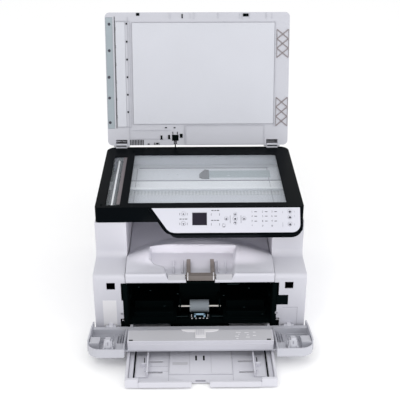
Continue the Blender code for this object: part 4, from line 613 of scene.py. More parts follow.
print("well floor", round(well_floor, 1), "mm up")

# %% [markdown]
# Under the glass lies the scanner's tub: a raised front floor, a deeper back channel with a flat
# ribbon cable folded over itself, and the toothed belt that draws the sensor bar. All of it stays
# below the bar's path.

# %% Scanner inside
TUB_LOW, TUB_HIGH = box_mm("scanner_tub")
BAR_LOW, BAR_HIGH = box_mm("scan_carriage")
tub_floor = TUB_LOW.z + 3
scan_x = (TUB_LOW.x + 7.5, TUB_HIGH.x - 7.5)
back = SCANNER_LOW.y
TUB_STRIPS = (         # name, X limits, distances from the scanner's front, height, material, edge
    ("tub_front_floor", scan_x, (12, 108), 0.5, TUB, 0.3),
    ("tub_bright_band", scan_x, (131, 172), 1.2, TUB_BRIGHT, 0.3),
    ("tub_back_channel", scan_x, (178, 240), 0.3, TUB_DEEP_REFLECTED, 0.3),
    ("tub_channel_line_front", scan_x, (174.5, 176), 1.6, SEAM_AND_SHADE, 0.2),
    ("tub_channel_line_back", (-128, 152), (236.5, 237.8), 2, SEAM_AND_SHADE, 0.2),
    ("tub_cross_line_left", (-132, -131), (20, 236), 1.3, SEAM_AND_SHADE, 0.2),
    ("tub_cross_line_right", (149, 150), (20, 236), 1.3, SEAM_AND_SHADE, 0.2),
    ("slot_floor", (-186, -147), (14, 262), 0.8, LINER, 0.3),
    ("drive_belt", (-150, 176), (109.5, 126), 1, BELT, 0.3),
    ("ribbon_cable", (22, 168), (190, 223), 1.4, RIBBON, 0.3),
    ("belt_pulley_block", (154, 172), (176, 226), 2.2, TUB_DEEP_REFLECTED, 0.8),
)
for name, x, (near, far), height, look, edge in TUB_STRIPS:
    show_blocks(name, look, "scanner_tub",
                [(x, (back + near, back + far), (tub_floor - 0.3, tub_floor + height))], edge=edge)

bm = bmesh.new()
RIBBON_FOLD = ((2, 190), (10, 183), (23, 183), (23, 225), (14, 228), (2, 205))
bm.faces.new([bm.verts.new((x, back + y, tub_floor)) for x, y in RIBBON_FOLD])
raise_faces(bm, 2.2)
show("ribbon_fold", bm, FOLD, "scanner_tub", edge=0.4)
show_blocks("tub_bosses", TUB_DEEP_REFLECTED, "scanner_tub", [
    ((x, x + wide), (back + y, back + y + deep), (tub_floor, tub_floor + 1.8))
    for x, y, wide, deep in ((-35, 228, 11, 6), (-66, 205, 3, 3), (-46, 205, 3, 3), (62, 196, 5, 3))],
    edge=0.4)
print("room under the sensor bar", round(BAR_LOW.z - tub_floor, 1), "mm")

# %% [markdown]
# The sensor bar waits under the feeder's slot, where its rod lens shows through the window as a
# bright bar, a painted highlight. The bezel round it has index marks, two small buttons and a brown
# flap beside the slot.

# %% Sensor bar, slot and bezel
lens_x = BAR_LOW.x + 6
bm = bmesh.new()
add_rod(bm, "Y", (lens_x, BAR_HIGH.z - 1.9), 2.8, BAR_LOW.y + 3, BAR_HIGH.y - 3)
show("sensor_lens", bm, LENS_HIGHLIGHT, "scan_carriage")
bar_y = (BAR_LOW.y + 1, BAR_HIGH.y - 1)
show_blocks("sensor_side_strips", INK, "scan_carriage", [
    ((BAR_LOW.x + 0.6, lens_x - 3), bar_y, (BAR_HIGH.z - 0.3, BAR_HIGH.z + 0.4)),
    ((lens_x + 3, lens_x + 5.4), bar_y, (BAR_HIGH.z - 0.3, BAR_HIGH.z + 0.3))], edge=0.2)
bezel_top = SCANNER_HIGH.z
show_blocks("slot_film_patch", FILM, "feeder_glass", [
    ((BAR_LOW.x - 1.5, lens_x - 3), (BAR_HIGH.y - 66, BAR_HIGH.y + 2), (bezel_top - 2.2, bezel_top - 1.9))])
show_blocks("slot_flap", FLAP, "scanner_bezel", [
    ((-160, -150.5), (back + 18, back + 262), (bezel_top - 2.25, bezel_top - 1.6))], edge=0.2)
show_blocks("bezel_index_marks", LINER, "scanner_bezel", [
    (about(x, 4), (SCANNER_HIGH.y - 16, SCANNER_HIGH.y - 14.5), (bezel_top - 0.2, bezel_top + 0.25))
    for x in (-120, -38, 20, 60, 130)], edge=0.1)
bm = bmesh.new()
add_screw(bm, "Z", (-188, back + 12), 2.2, bezel_top - 0.5, bezel_top + 0.5)
add_screw(bm, "Z", (-141, back + 262), 1.6, bezel_top - 0.5, bezel_top + 0.4)
show("bezel_buttons", bm, LINER, "scanner_bezel")
print("lens top to bezel top", round(bezel_top - (BAR_HIGH.z + 0.9), 2), "mm")

# %% [markdown]
# The control panel is a slanted sheet with printed legends. The legends are thin raised pieces of
# ink: triangles, brackets, dashes and the digits of a number pad, typed in the panel's own plane,
# as a distance along X and a distance down from its top edge.

# %% Control panel legends
press = JOINTS["key_ok_press"]["axis"]
PANEL_TURN = Matrix.Rotation(math.atan2(press[1], -press[2]), 4, "X")
PANEL_HIGH = turned_box("control_panel", PANEL_TURN)[1]
FACE = PANEL_HIGH.z
TOP_EDGE = PANEL_HIGH.y
INK_HEIGHT = 0.12
LEGENDS = [            # middle across, middle down, width, height
    (58, 22, 0.6, 15), (78.6, 22, 0.6, 15), (158, 9, 0.35, 4), (158, 33, 0.35, 9),
    (46, 36.4, 4.6, 1.1), (44.5, 30.5, 1.6, 0.8)]
for x, s in ((-30.6, 21), (30, 5), (29.5, 23.8)):
    LEGENDS += [(x - 5.4 + step * 5.2, s, wide, 1.5) for step, wide in enumerate((4.2, 3, 4.8))]
for x, s, reach in ((-30.6, 11.6, 7.2), (-30.6, 30.3, 7.2), (30, 12.7, 7.8), (30, 31.5, 7.8)):
    LEGENDS += [(x - reach, s, 0.7, 4.4), (x + reach, s, 0.7, 4.4)]
LEGENDS += [(x + 3.6, s, 4.8, 1.2) for x in (103, 123, 141) for s in (7.9, 16.4, 25.8)]
LEGENDS += [(180, s, 0.35, 3.2) for s in (8.2, 16.5, 32.5)]
show_blocks("panel_legends", INK, "control_panel", [
    (about(x, wide / 2), about(TOP_EDGE - s, tall / 2), (FACE - 0.02, FACE + INK_HEIGHT))
    for x, s, wide, tall in LEGENDS], place=PANEL_TURN)
print("legends", len(LEGENDS), "panel slope", round(math.degrees(PANEL_TURN.to_euler().x), 1), "degrees")

# %% [markdown]
# The digits are text curves, given a little thickness and turned into meshes, so that no image of
# a label is needed.

# %% Number pad
def digit(text, x, s, size):
    """A number as a thin mesh on the panel."""
    curve = bpy.data.curves.new("digit_" + text, "FONT")
    curve.body = text
    curve.size = size * MM
    curve.align_x = "CENTER"
    curve.align_y = "CENTER"
    curve.resolution_u = 3
    curve.extrude = INK_HEIGHT * MM / 2
    holder = bpy.data.objects.new("digit_" + text, curve)
    bpy.context.scene.collection.objects.link(holder)
    bpy.context.view_layer.update()
    mesh = bpy.data.meshes.new_from_object(holder.evaluated_get(bpy.context.evaluated_depsgraph_get()))
    mesh.transform(Matrix.Translation((x, TOP_EDGE - s, FACE + INK_HEIGHT / 2)) @ Matrix.Scale(1 / MM, 4))
    bpy.data.objects.remove(holder)
    return mesh


PAD_ACROSS = (99.6, 119.6, 137.6)
PAD_DOWN = (7.9, 16.4, 25.8, 34.6)
bm = bmesh.new()
for index, text in enumerate("123456789*0#"):
    row, column = divmod(index, 3)
    bm.from_mesh(digit(text, PAD_ACROSS[column], PAD_DOWN[row], 5))
print("number pad faces", len(bm.faces))
show("number_pad", bm, INK, "control_panel", place=PANEL_TURN)

# %% [markdown]
# Each key's mark rides on its key, so that it goes down with it. The arrows are three-sided
# cones of no taper, whose first corner points up the panel before the turn. The other keys have a
# small four-sided ring.

# %% Marks on the keys
ARROWS = {"key_volume_up": (-30.6, 11.6, 2.2, 0), "key_volume_down": (-30.6, 30.3, 2.2, 180),
          "key_left": (50.8, 21.4, 2.7, 90), "key_right": (84.4, 21.4, 2.7, -90),
          "key_up": (67.6, 12.6, 2.3, 0), "key_down": (67.6, 28.7, 2.3, 180)}
RINGS = {"key_ok": (67.6, 21.4, 2.4, 45), "key_start_1": (171.7, 8.2, 2.6, 90),
         "key_start_2": (171.7, 19, 2.6, 90), "key_start_3": (171.7, 32.5, 2.6, 90)}
for key, (x, s, size, turn) in {**ARROWS, **RINGS}.items():
    bm = bmesh.new()
    bmesh.ops.create_cone(bm, cap_ends=True, segments=3 if key in ARROWS else 4, radius1=size,
                          radius2=size, depth=INK_HEIGHT)
    if key in RINGS:
        hole = [face for face in bm.faces if face.normal.z > 0.9]
        bmesh.ops.inset_individual(bm, faces=hole, thickness=0.45, depth=-0.05)
    bmesh.ops.rotate(bm, cent=ORIGIN, matrix=Matrix.Rotation(math.radians(turn), 3, "Z"), verts=bm.verts)
    key_top = turned_box(key, PANEL_TURN)[1].z
    bmesh.ops.translate(bm, vec=(x, TOP_EDGE - s, key_top + INK_HEIGHT / 2), verts=bm.verts)
    show(key + "_mark", bm, INK, key, place=PANEL_TURN)

# %% [markdown]
# The black housing shows as a band round the panel's slanted end, its bottom and its right end. It
# is typed as pairs of points, outer and inner, that a strip of faces joins.

# %% Rims of the panel and the display
RIM = (((-98, 0), (-91.4, 0)), ((-86, 17), (-79.2, 17)), ((-74.5, 34), (-67.6, 33.4)),
       ((-69, 42), (-62, 40.6)), ((-62, 48.4), (-55.5, 45.6)), ((-52, 51.8), (-46, 47.7)),
       ((-30, 52.4), (-30, 48)), ((60, 52.4), (60, 48)), ((182, 52.2), (180, 47.6)),
       ((190, 49.4), (185.6, 44.9)), ((195.4, 43), (190.2, 38.6)), ((196.6, 35), (191.4, 32)),
       ((196.6, 0), (191.4, 0)))
bm = bmesh.new()
rows = [[bm.verts.new((x, TOP_EDGE - s, FACE + 0.22)) for x, s in pair] for pair in RIM]
for (a, b), (c, d) in zip(rows, rows[1:]):
    bm.faces.new((a, b, d, c))
raise_faces(bm, -4.5)
show("panel_rim", bm, BLACK, "panel_housing", place=PANEL_TURN, edge=0.5)
bm = bmesh.new()
add_frame(bm, (-14.6, 14.6), (TOP_EDGE - 34.1, TOP_EDGE - 8.4), (FACE - 0.1, FACE + 0.25), 0.7)
show("display_rim", bm, KEY_GREY, "control_panel", place=PANEL_TURN, edge=0.15)
print("key marks", len(ARROWS) + len(RINGS))

# %% [markdown]
# The lid's underside is busy: a white foam pad, the feeder's own narrow pad, a steel strip held by
# screws, hinge pockets, moulded ribs and a connector. They are typed flat, in the closed lid's
# frame: X across and a distance up from the hinge edge.

# %% Lid underside
LID_TURN = Matrix.Rotation(math.radians(-JOINTS["lid_hinge"]["range_deg"][1]), 4, "X")
UNDER = turned_box("lid_plate", LID_TURN)[0].z
HINGE_EDGE = turned_box("lid_cover", LID_TURN)[1].y
FLUSH = (-0.3, 0.1)


def lid_row(x, v, z=FLUSH):
    """Limits of a block under the lid; v is the distance from the hinge edge."""
    return x, (HINGE_EDGE - v[1], HINGE_EDGE - v[0]), (UNDER + z[0], UNDER + z[1])


def show_lid(name, look, rows, node="lid_plate", edge=0):
    show_blocks(name, look, node, [lid_row(*row) for row in rows], LID_TURN, edge)


PAD_LOW, PAD_HIGH = turned_box("pressure_pad", LID_TURN)
pad_x = (PAD_LOW.x, PAD_HIGH.x)
pad_v = (HINGE_EDGE - PAD_HIGH.y, HINGE_EDGE - PAD_LOW.y)
# The first four lines, round the foam pad, are painted shadow of the raised pad; the others are seams.
seams = [((pad_x[0] - 1.8, pad_x[0] - 0.5), pad_v), ((pad_x[1] + 0.5, pad_x[1] + 1.6), pad_v),
         (pad_x, (pad_v[1] + 0.4, pad_v[1] + 1.2)), (pad_x, (pad_v[0] - 1.3, pad_v[0] - 0.4)),
         ((-151, -150), (1, 278)), ((-146.6, -145.8), (40, 270)),
         ((-176, -147), (268.6, 269.4)), ((-176, -147), (40.4, 41.2))]
seams += [((-29.5, 147), (v, v + 0.7)) for v in (43, 2)]
seams += [((x, x + 0.7), (2, 43)) for x in (-29.5, 146.3)]
seams += [((x, x + 0.6), (274, 284)) for x in (-16, 90, 112, 160)]
show_lid("lid_seams_and_pad_shadows", FAINT, seams)

# Partly painted shade: dark blocks fill the slits and holes, while the plug and connector blocks among them are
# black parts.
slots = [((-131.5, -124.5), (280.5, 286.5)), ((-179.2, -178), (38, 279)),
         ((-174.2, -173.2), (42, 267)), ((-158, -157.2), (42, 267)),
         ((-34, -31.5), (275, 284)), ((98, 110), (278.4, 284.6)), ((-40, -33.6), (16.5, 25.5))]
slots += [((x, x + wide), (v, v + 2.4)) for x, v, wide in (
    (-84, 12.8, 6.6), (-72.7, 38, 4.6), (-53.5, 37.9, 4.1), (-64, 13.2, 3.6), (-111.5, 1.6, 4.6),
    (-93, 3, 5.6))]
slots += [((-150 + index * 3.5, -148.4 + index * 3.5), (0.6, 12.5)) for index in range(9)]
slots += [((-97 + index * 3.4, -95.7 + index * 3.4), (0.6, 6)) for index in range(4)]
slots += [((x, x + 1.5), (24, 30)) for x in (-56, -46)]
for index in range(6):
    v = 60 + index * 38
    slots += [((-176.8, -174), (v, v + 7)), ((-154.5, -151.3), (v + 12, v + 16))]
show_lid("lid_dark_slots", LINER, slots)

low_rib = (-0.6, 0.1)
ribs = [((-60 + index * 52, -59 + index * 52), (273.5, 286), (-0.9, 0.1)) for index in range(5)]
ribs += [((168, 169.3), (40, 268), (-0.8, 0.1)), ((-27, -26), (3, 42), low_rib)]
ribs += [((-145, -60), (v, v + 1), low_rib) for v in (14, 33)]
show_lid("lid_ribs", LID_WHITE, ribs, edge=0.25)
print("lid seams", len(seams), "slots", len(slots), "ribs", len(ribs))

# %% [markdown]
# At the lid's free side two stacks of crossed braces stiffen the moulding. Each cross is two thin
# bars leaning opposite ways, and a rail closes the stack on each side.

# %% Lid braces, plug and strip
BRACE_ACROSS = 25
BRACE_CELLS = 3
bm = bmesh.new()
for low, high in ((191, 251), (42, 105)):
    tall = (high - low) / BRACE_CELLS
    for cell in range(BRACE_CELLS):
        for lean in (-1, 1):
            verts = bmesh.ops.create_cube(bm, size=1)["verts"]
            bmesh.ops.scale(bm, vec=(math.hypot(BRACE_ACROSS, tall), 2.2, 0.9), verts=verts)
            turn = Matrix.Rotation(lean * math.atan2(tall, BRACE_ACROSS), 3, "Z")
            bmesh.ops.rotate(bm, cent=ORIGIN, matrix=turn, verts=verts)
            place = (184.5, HINGE_EDGE - (low + tall * (cell + 0.5)), UNDER - 0.2)
            bmesh.ops.translate(bm, vec=place, verts=verts)
    for x in (171.5, 197):
        add_block(bm, *lid_row((x, x + 1), (low, high), (-0.5, 0.1)))
show("lid_braces", bm, BRACE, "lid_plate", place=LID_TURN, edge=0.2)

rows = []
for name in ("hinge_post_1", "hinge_post_2"):
    post_low, post_high = box_mm(name)
    rows += [((post_low.x + 0.8, post_high.x - 0.8), (post_low.y - 0.15, post_low.y + 0.4), (z, z + 2.4))
             for z in (post_high.z - 3.2, post_high.z - 9.6)]
show_blocks("hinge_post_lines", LINER, "hinge_post_1", rows)
show_lid("lid_plug_clips", LINER, [((-66, -61.5), (13.5, 23), (-0.8, 0.1)),
                                   ((-82.5, -78.5), (13, 22), (-0.8, 0.1))], edge=0.4)

STRIP_LOW, STRIP_HIGH = turned_box("lid_strip", LID_TURN)
bm = bmesh.new()
for x, v in ((-190, 263), (-191, 207), (-193, 150), (-193, 105), (-193, 51)):
    add_screw(bm, "Z", (x, HINGE_EDGE - v), 3.1, STRIP_LOW.z - 0.9, STRIP_LOW.z + 0.2)
show("strip_screws", bm, INK, "lid_strip", place=LID_TURN)
show_blocks("strip_pads", STRIP, "lid_strip", [
    ((STRIP_LOW.x + 0.8, STRIP_HIGH.x - 0.8), (HINGE_EDGE - v - 9, HINGE_EDGE - v + 3),
     (STRIP_LOW.z - 0.35, STRIP_LOW.z + 0.1)) for v in (48, 96, 160, 200, 258)],
    place=LID_TURN, edge=0.2)
print("lid strip", round(STRIP_HIGH.x - STRIP_LOW.x, 1), "mm wide")

# %% [markdown]
# The two towers carry small things: a bare sticker on the left, an access panel on the right,
# screws and springs beside the cavity, and slots for air on the outside.

# %% Tower details
face_y = DECK_LOW.y
SCREW_X = (-150.2, 147.7)
SCREW_Z = 49.6
thin = (face_y - 0.12, face_y + 0.2)
show_blocks("bare_sticker", STICKER, "side_cover_left", [
    ((-186, -160), (face_y - 0.15, face_y + 0.2), (14, 80))])
show_blocks("access_panel", WHITE, "side_cover_right", [
    ((156.5, 186.5), (face_y - 0.5, face_y + 0.2), (15, 61))], edge=0.3)
# A dark line on the panel's top and right edges: painted shadow of the raised panel.
show_blocks("access_panel_shadow_line", SEAM_AND_SHADE, "side_cover_right", [
    ((158.5, 187.2), thin, (61.3, 62)), ((186.9, 187.5), thin, (15, 62))])
bm = bmesh.new()
for x in SCREW_X:
    add_rod(bm, "Y", (x, SCREW_Z), 3.2, face_y - 0.8, face_y + 0.3)
show("tower_screw_seats", bm, GREY, "side_cover_left", edge=0.2)
bm = bmesh.new()
for x in SCREW_X:
    add_screw(bm, "Y", (x, SCREW_Z), 2, face_y - 1.5, face_y - 0.5)
show("tower_screws", bm, SEAM_AND_SHADE, "pickup_shaft", body="body")

for side, x0 in (("left", -151), ("right", 147.5)):
    bm = bmesh.new()
    spine = [Vector((x0 + index * 0.9, face_y + 3, 31 + (2.2 if index % 2 else -0.6))) for index in range(7)]
    for a, b in zip(spine, spine[1:]):
        verts = bmesh.ops.create_cone(bm, cap_ends=True, segments=8, radius1=0.5, radius2=0.5,
                                      depth=(b - a).length)["verts"]
        turn = (b - a).to_track_quat("Z", "X").to_matrix()
        bmesh.ops.rotate(bm, cent=ORIGIN, matrix=turn, verts=verts)
        bmesh.ops.translate(bm, vec=(a + b) / 2, verts=verts)
    show("earth_spring_" + side, bm, STICKER, "pickup_shaft", body="body")

x_out = box_mm("side_cover_right")[1].x
# Painted shade: dark strips stand for the air slots.
show_blocks("side_air_slots", SEAM_AND_SHADE, "side_cover_left", [
    ((side * (x_out - 0.4), side * (x_out + 0.12)), (40, 130), (z, z + 2.4))
    for side in (-1, 1) for z in range(96, 150, 6)])
print("tower faces stand at y =", round(face_y, 1), "mm, slots at x =", round(x_out, 1))

# %% [markdown]
# Inside the cavity everything is black: cross ribs, a step above the roller and the mouth of the
# paper path. Small grey blocks on its edges are painted glints. The pick-up pad sits in a pale blue frame.

# %% Cavity details
CAVITY_LOW, CAVITY_HIGH = box_mm("cavity_liner")
half = CAVITY_HIGH.x - 3.2
back_wall = CAVITY_HIGH.y - 3.2
mouth = CAVITY_LOW.y
rows = [((-half, half), (back_wall - depth, back_wall + 0.2), (z, z + 2.4))
        for z, depth in ((104, 16), (62, 10), (38, 12))]
rows += [(about(x, 1), (back_wall - 9, back_wall + 0.2), (40, 102)) for x in (-96, -60, 60, 96)]
for side in (-1, 1):
    rows += [((side * 52, side * 128), (mouth + 14, mouth + 17), (31.5, 40)),
             ((side * 52, side * 128), (mouth + 40, mouth + 43), (31.5, 48))]
show_blocks("cavity_ribs", LINER, "cavity_liner", rows, edge=0.5)
# Painted highlights: small grey blocks on the sill and on the ribs' front edges stand for glints.
glint_y = (mouth + 4, mouth + 5)
rows = [(x, (-166, -165), (28.6, 30.2)) for x in ((-134, -23), (23, 134))]
rows += [((x, x + 3), glint_y, (z, z + 1)) for x, z in (
    (-118, 104), (-96, 96), (-44, 88), (44, 84), (92, 100), (-70, 60), (84, 56), (120, 40))]
rows += [((52, 74), glint_y, (109.5, 110.5))]
show_blocks("cavity_painted_glints", EDGE, "cavity_liner", rows)
skin_y = (face_y - 0.15, face_y + 0.3)
show_blocks("cavity_side_faces", LINER, "cavity_liner", [
    ((-138.6, -147), skin_y, (9, 118)), ((138.6, 147), skin_y, (9, 118)),
    ((146, 168.5), skin_y, (68, 90))])

hold_y = box_mm("pad_holder")[0].y
frame_y = (hold_y - 2.4, hold_y - 0.2)
show_blocks("pad_frame", BLUE, "pad_holder", [
    ((-11.4, 10.4), frame_y, (36.8, 40.4)), ((-11.4, -8), frame_y, (31.8, 40.4)),
    ((7, 10.4), frame_y, (31.8, 40.4))], edge=0.3)
show_blocks("pad_backing", LINER, "pad_holder", [
    ((-17.5, 16.5), (hold_y - 1.8, hold_y + 0.4), (24, 41))], edge=0.3)
rows = [((x, x + wide), frame_y, (27.8, 30.2))
        for x, wide in ((-17, 3.4), (-9, 2.6), (-1.8, 3.6), (5.6, 2.6), (12.6, 3.4))]
rows += [((x, x + 1.2), frame_y, (32.4, 38.4)) for x in (-16.8, 14.8)]
show_blocks("pad_ticks", STICKER, "pad_holder", rows, edge=0.15)
print("cavity", round(2 * half, 1), "mm wide,", round(back_wall - mouth, 1), "deep")

# %% [markdown]
# The folded door has a tray at each end with a latch tower, ribs and an outer block. The door
# rests a little nose-up, so its details are typed level and turned about its hinge.

# %% Door details
DOOR_AXIS = Vector(JOINTS["door_hinge"]["pos_m"])
DOOR_TILT = math.radians(90 + JOINTS["door_hinge"]["range_deg"][0])
DOOR_TURN = (Matrix.Translation(DOOR_AXIS) @ Matrix.Rotation(-DOOR_TILT, 4, "X")
             @ Matrix.Translation(-DOOR_AXIS))
DOOR_LOW = turned_box("door_panel", DOOR_TURN)[0]
LATCH = 169
sill = DOOR_LOW.z + 3
lip = DOOR_LOW.y
for side, label in ((-1, "left"), (1, "right")):
    latch = side * LATCH

    def door_row(x, y, top):
        """A block that stands on the door's floor; x is taken on this side, y from the free edge."""
        return (side * x[0], side * x[1]), (lip + y[0], lip + y[1]), (sill - 0.4, sill + top)

    rows = [door_row(about(LATCH + offset, 1.3), (6.4, 16.4), 27) for offset in (-5.9, 5.9)]
    rows += [door_row(about(LATCH + offset, 1.2), (3.4, 30), 15) for offset in (-8.2, 8.2)]
    rows += [door_row(about(LATCH, 8.9), (24, 27), 14.5), door_row((187, 205.5), (24, 50), 15),
             door_row((143, 156), (5, 34), 9)]
    for step in range(3):
        rows += [door_row((146 + step * 5, 147.2 + step * 5), (36, 82), 7 - step),
                 door_row((164, 205), (54 + step * 11, 55.3 + step * 11), 8 - step)]
    show_blocks("door_ribs_" + label, DOOR_SHADED_WHITE, "door_panel", rows, DOOR_TURN, 0.5)
    # Painted shade: dark strips stand for the latch slots.
    rows = [(about(latch, 1), (lip + 5.2, lip + 5.8), (sill + 19, sill + 25))]
    rows += [(about(latch + offset, 0.5), (lip + 8, lip + 9), (sill, sill + 22)) for offset in (-5.4, 5.4)]
    show_blocks("latch_slot_" + label, SEAM_AND_SHADE, "door_panel", rows, DOOR_TURN)
print("door tilt", round(math.degrees(DOOR_TILT), 1), "degrees, floor", round(sill, 1), "mm")

# %% [markdown]
# The door carries a hollow box whose top guides the sheet up to the roller with a T-shaped ramp.
# The ramp is a flat outline raised to a plate, with five ribs along its stem.

# %% Paper box on the door
BOX_LOW, BOX_HIGH = box_mm("paper_block")
RAMP = ((-36, 0.3), (35, 0.3), (33, 4), (24, 8), (10, 9), (10, 26), (-10, 26), (-10, 9), (-24, 8), (-34, 4))
top = BOX_HIGH.z
far = BOX_HIGH.y
bm = bmesh.new()
bm.faces.new([bm.verts.new((x, far - y, top)) for x, y in RAMP])
raise_faces(bm, 1.6)
show("box_ramp", bm, STICKER, "paper_block", edge=0.7)
show_blocks("box_ramp_ribs", WHITE, "paper_block", [
    ((-8 + index * 3.4, -7 + index * 3.4), (far - 18, far - 2), (top + 1.5, top + 2.4))
    for index in range(5)], edge=0.2)
# Painted shade: black blocks stand for the holes at the box's ends.
show_blocks("box_end_holes", LINER, "paper_block", [
    (x, (BOX_LOW.y + 1.2, BOX_LOW.y + 4.6), (top - 0.6, top + 0.2))
    for x in ((-131.5, -124.5), (122, 129.5))])
show_blocks("box_paper_marks", STICKER, "paper_block", [
    ((x, x + wide), (far - y - 2.2, far - y), (top - 0.1, top + 0.15)) for x, y, wide in (
       (66, 8, 9), (70, 14, 3), (64, 20, 7), (66, 27, 4), (82, 9, 8), (86, 16, 4), (84, 23, 7),
       (98, 8, 5), (97, 18, 6))])
show_blocks("box_front_step", WHITE, "paper_block", [
    ((BOX_LOW.x + 1, BOX_HIGH.x - 1), (BOX_LOW.y - 0.9, BOX_LOW.y + 0.4),
     (BOX_LOW.z + 1, top - 7))], edge=0.5)
show_blocks("box_top_skin", GREY, "paper_block", [
    ((BOX_LOW.x + 2, BOX_HIGH.x - 2), (BOX_LOW.y + 0.6, far - 1.2), (top - 0.3, top + 0.1))])
print("paper box top", round(top, 1), "mm up")

# %% [markdown]
# The cassette shows its working surfaces: grooves and steps along its sides, rulers on its floor,
# a stepped front lip with a finger grip, and a lifting plate with a rib and two slots.

# %% Cassette tray
near = box_mm("cassette_tray")[0].y
tray_foot = box_mm("cassette_tray")[0].z
ground = tray_foot + 2.5
# Painted shade: black strips stand for the grooves in the tray's floor and sides.
rows = []
for side in (-1, 1):
    rows += [((side * 120, side * 122.6), (near + 12, near + 110), (ground, ground + 0.35)),
             ((side * 124.6, side * 126), (near + 24, near + 32), (ground, ground + 3))]
show_blocks("cassette_grooves", LINER, "cassette_tray", rows)
rows = []
for side in (-1, 1):
    rows += [((side * 123, side * 130.4), (near + 7, near + 150), (ground - 0.2, ground + 6)),
             ((side * 112.5, side * 119.6), (near + 9, near + 150), (ground - 0.2, ground + 0.8))]
show_blocks("cassette_side_steps", CASSETTE, "cassette_tray", rows, edge=0.5)
rows = [((x, x + 0.5), (near + 12, near + 118), (ground, ground + 0.12)) for x in (-58.6, 58)]
rows += [((-94, -60), (near + y, near + y + 0.5), (ground, ground + 0.12)) for y in (42, 56)]
show_blocks("cassette_rulers", SEAM_AND_SHADE, "cassette_tray", rows)

# %% [markdown]
# The lifting plate presses the paper up to the roller. Its details ride on the plate, so that they
# tip with it when the cassette is closed.

# %% Lifting plate
LIFT_LOW, LIFT_HIGH = box_mm("lift_plate")
plate_top = LIFT_HIGH.z
skin = (plate_top - 0.05, plate_top + 0.12)
show_blocks("lift_plate_rib", CASSETTE, "lift_plate", [
    ((-19.6, 18.4), (LIFT_LOW.y + 0.8, LIFT_LOW.y + 130), (plate_top - 0.1, plate_top + 0.5))], edge=0.3)
# A black sheet on the part of the plate that lies inside the machine: painted shade.
show_blocks("lift_plate_painted_shade", LINER, "lift_plate", [
    ((LIFT_LOW.x + 0.6, LIFT_HIGH.x - 0.6), (face_y + 4, LIFT_HIGH.y - 0.6),
     (plate_top + 0.1, plate_top + 0.7))])
# Painted shade: black blocks stand for the plate's two slots.
show_blocks("lift_plate_slots", LINER, "lift_plate", [
    (about(x, 1.6), (near + 70, near + 84), (plate_top + 0.3, plate_top + 0.62)) for x in (-8.4, 6.1)])
bm = bmesh.new()
for x in ((-57, -20.4), (19.2, 57)):
    add_frame(bm, x, (LIFT_LOW.y + 2, LIFT_LOW.y + 118), skin, 0.5)
add_block(bm, (-52, -24), (near + 58, near + 66), skin)
show("lift_plate_marks", bm, GREY, "lift_plate")

# %% [markdown]
# The two guides slide together across the tray's floor. Their grips stand just clear of it, and the
# front lip is in two halves with the finger grip between them.

# %% Cassette lip and paper guides
LIP_HALVES = ((-111, -17.6), (15.6, 107))
show_blocks("cassette_lip", CASSETTE, "cassette_tray", [
    (x, (near - 1.6, near + 3), (tray_foot + 1, tray_foot + 12.6)) for x in LIP_HALVES], edge=0.9)
rows = [(x, (near + 3, near + 3.9), (tray_foot + 10, tray_foot + 11.4)) for x in LIP_HALVES]
rows += [((-10, 8), (near + 13, near + 14.6), (ground, ground + 2.2))]
show_blocks("cassette_lip_line", SEAM_AND_SHADE, "cassette_tray", rows)
rest = ground + 0.4
for label, side in (("left", -1), ("right", 1)):
    guide = "width_guide_" + label
    guide_low, guide_high = box_mm(guide)
    fence = guide_high.x if side < 0 else guide_low.x
    bm = bmesh.new()
    add_rod(bm, "Y", (fence + side * 4.8, rest + 2.4), 2.2, guide_low.y + 14, guide_high.y - 4)
    add_block(bm, (fence + side * 3, fence + side * 13), about(guide_high.y - 32, 2), (rest, rest + 9))
    show("guide_grip_" + label, bm, CASSETTE, "width_guide_left", body=guide, edge=0.5)
    # Painted shade: a black strip stands for the slot beside the guide's grip.
    show_blocks("guide_slot_" + label, LINER, "width_guide_left", [
        ((fence + side * 7, fence + side * 8.6), (guide_low.y + 30, guide_high.y - 8),
         (rest + 1.7, rest + 2.2))], body=guide)
print("cassette floor", round(ground, 1), "mm up, plate top", round(plate_top, 1))

# %% [markdown]
# The back is seen when the copier is turned: air slots, screws and a finger catch on the jam door.
# The catch is a frame typed flat, then stood up against the wall and mirrored.

# %% Back of the body
REAR_HIGH = box_mm("rear_door")[1]
wall_y = box_mm("rear_cover")[1].y
slot_y = (wall_y - 0.3, wall_y + 0.12)
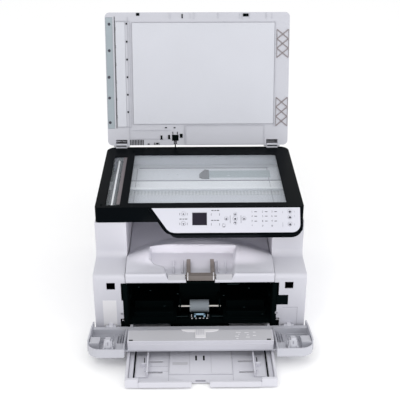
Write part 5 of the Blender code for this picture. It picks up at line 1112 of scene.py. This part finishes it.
# Painted shade: dark strips stand for the air slots.
rows = [((-70, 110), slot_y, (z, z + 2)) for z in range(188, 153, -5) if z > REAR_HIGH.z + 4]
rows += [((20, 110), slot_y, (z, z + 2)) for z in range(40, 65, 5)]
show_blocks("rear_air_slots", SEAM_AND_SHADE, "rear_cover", rows)
bm = bmesh.new()
for x, z in ((-132, 196), (132, 196), (-132, 36), (132, 36)):
    add_screw(bm, "Y", (x, z), 3, wall_y - 0.5, wall_y + 1)
show("rear_screws", bm, SEAM_AND_SHADE, "pickup_shaft", body="body")
bm = bmesh.new()
add_frame(bm, (0, 40), (0, 12), (-0.4, 0.6), 1.2)
catch = Matrix.Translation((0, wall_y, REAR_HIGH.z - 18)) @ Matrix.Rotation(-math.pi / 2, 4, "X")
bmesh.ops.transform(bm, matrix=catch @ Matrix.Scale(-1, 4, (0, 1, 0)), verts=bm.verts)
bmesh.ops.recalc_face_normals(bm, faces=bm.faces)
show("rear_door_catch", bm, COVER, "rear_door", edge=0.3)
print("rear slots", len(rows))

# %% [markdown]
# The lid's outer side shows when the lid is shut: ribs on the feeder's tray, lines on its cover and
# a seam round the flat part.

# %% Outer side of the lid
FEED_LOW, FEED_HIGH = turned_box("feeder_cover", LID_TURN)
TRAY_LOW, TRAY_HIGH = turned_box("feeder_tray", LID_TURN)
COVER_LOW, COVER_HIGH = turned_box("lid_cover", LID_TURN)
show_blocks("feeder_tray_ribs", WHITE, "feeder_tray", [
    ((TRAY_LOW.x + 14, TRAY_HIGH.x - 10), (TRAY_LOW.y + y, TRAY_LOW.y + y + 2.4),
     (TRAY_HIGH.z - 0.2, TRAY_HIGH.z + 0.2)) for y in range(28, 197, 42)], LID_TURN)
line_z = (FEED_HIGH.z - 0.3, FEED_HIGH.z + 0.12)
show_blocks("feeder_cover_lines", SEAM_AND_SHADE, "feeder_cover", [
    ((FEED_LOW.x + 46, FEED_LOW.x + 48), (FEED_LOW.y + 20, FEED_HIGH.y - 20), line_z),
    ((FEED_LOW.x + 70, FEED_LOW.x + 86), about((FEED_LOW.y + FEED_HIGH.y) / 2, 0.6), line_z)], LID_TURN)
bm = bmesh.new()
add_frame(bm, (COVER_LOW.x + 136, COVER_HIGH.x - 10), (COVER_LOW.y + 10, COVER_HIGH.y - 14),
          (COVER_HIGH.z - 0.3, COVER_HIGH.z + 0.1), 1.2)
show("lid_cover_seam", bm, SEAM_AND_SHADE, "lid_cover", place=LID_TURN)

print("feeder tray", round(TRAY_HIGH.x - TRAY_LOW.x, 1), "mm wide")
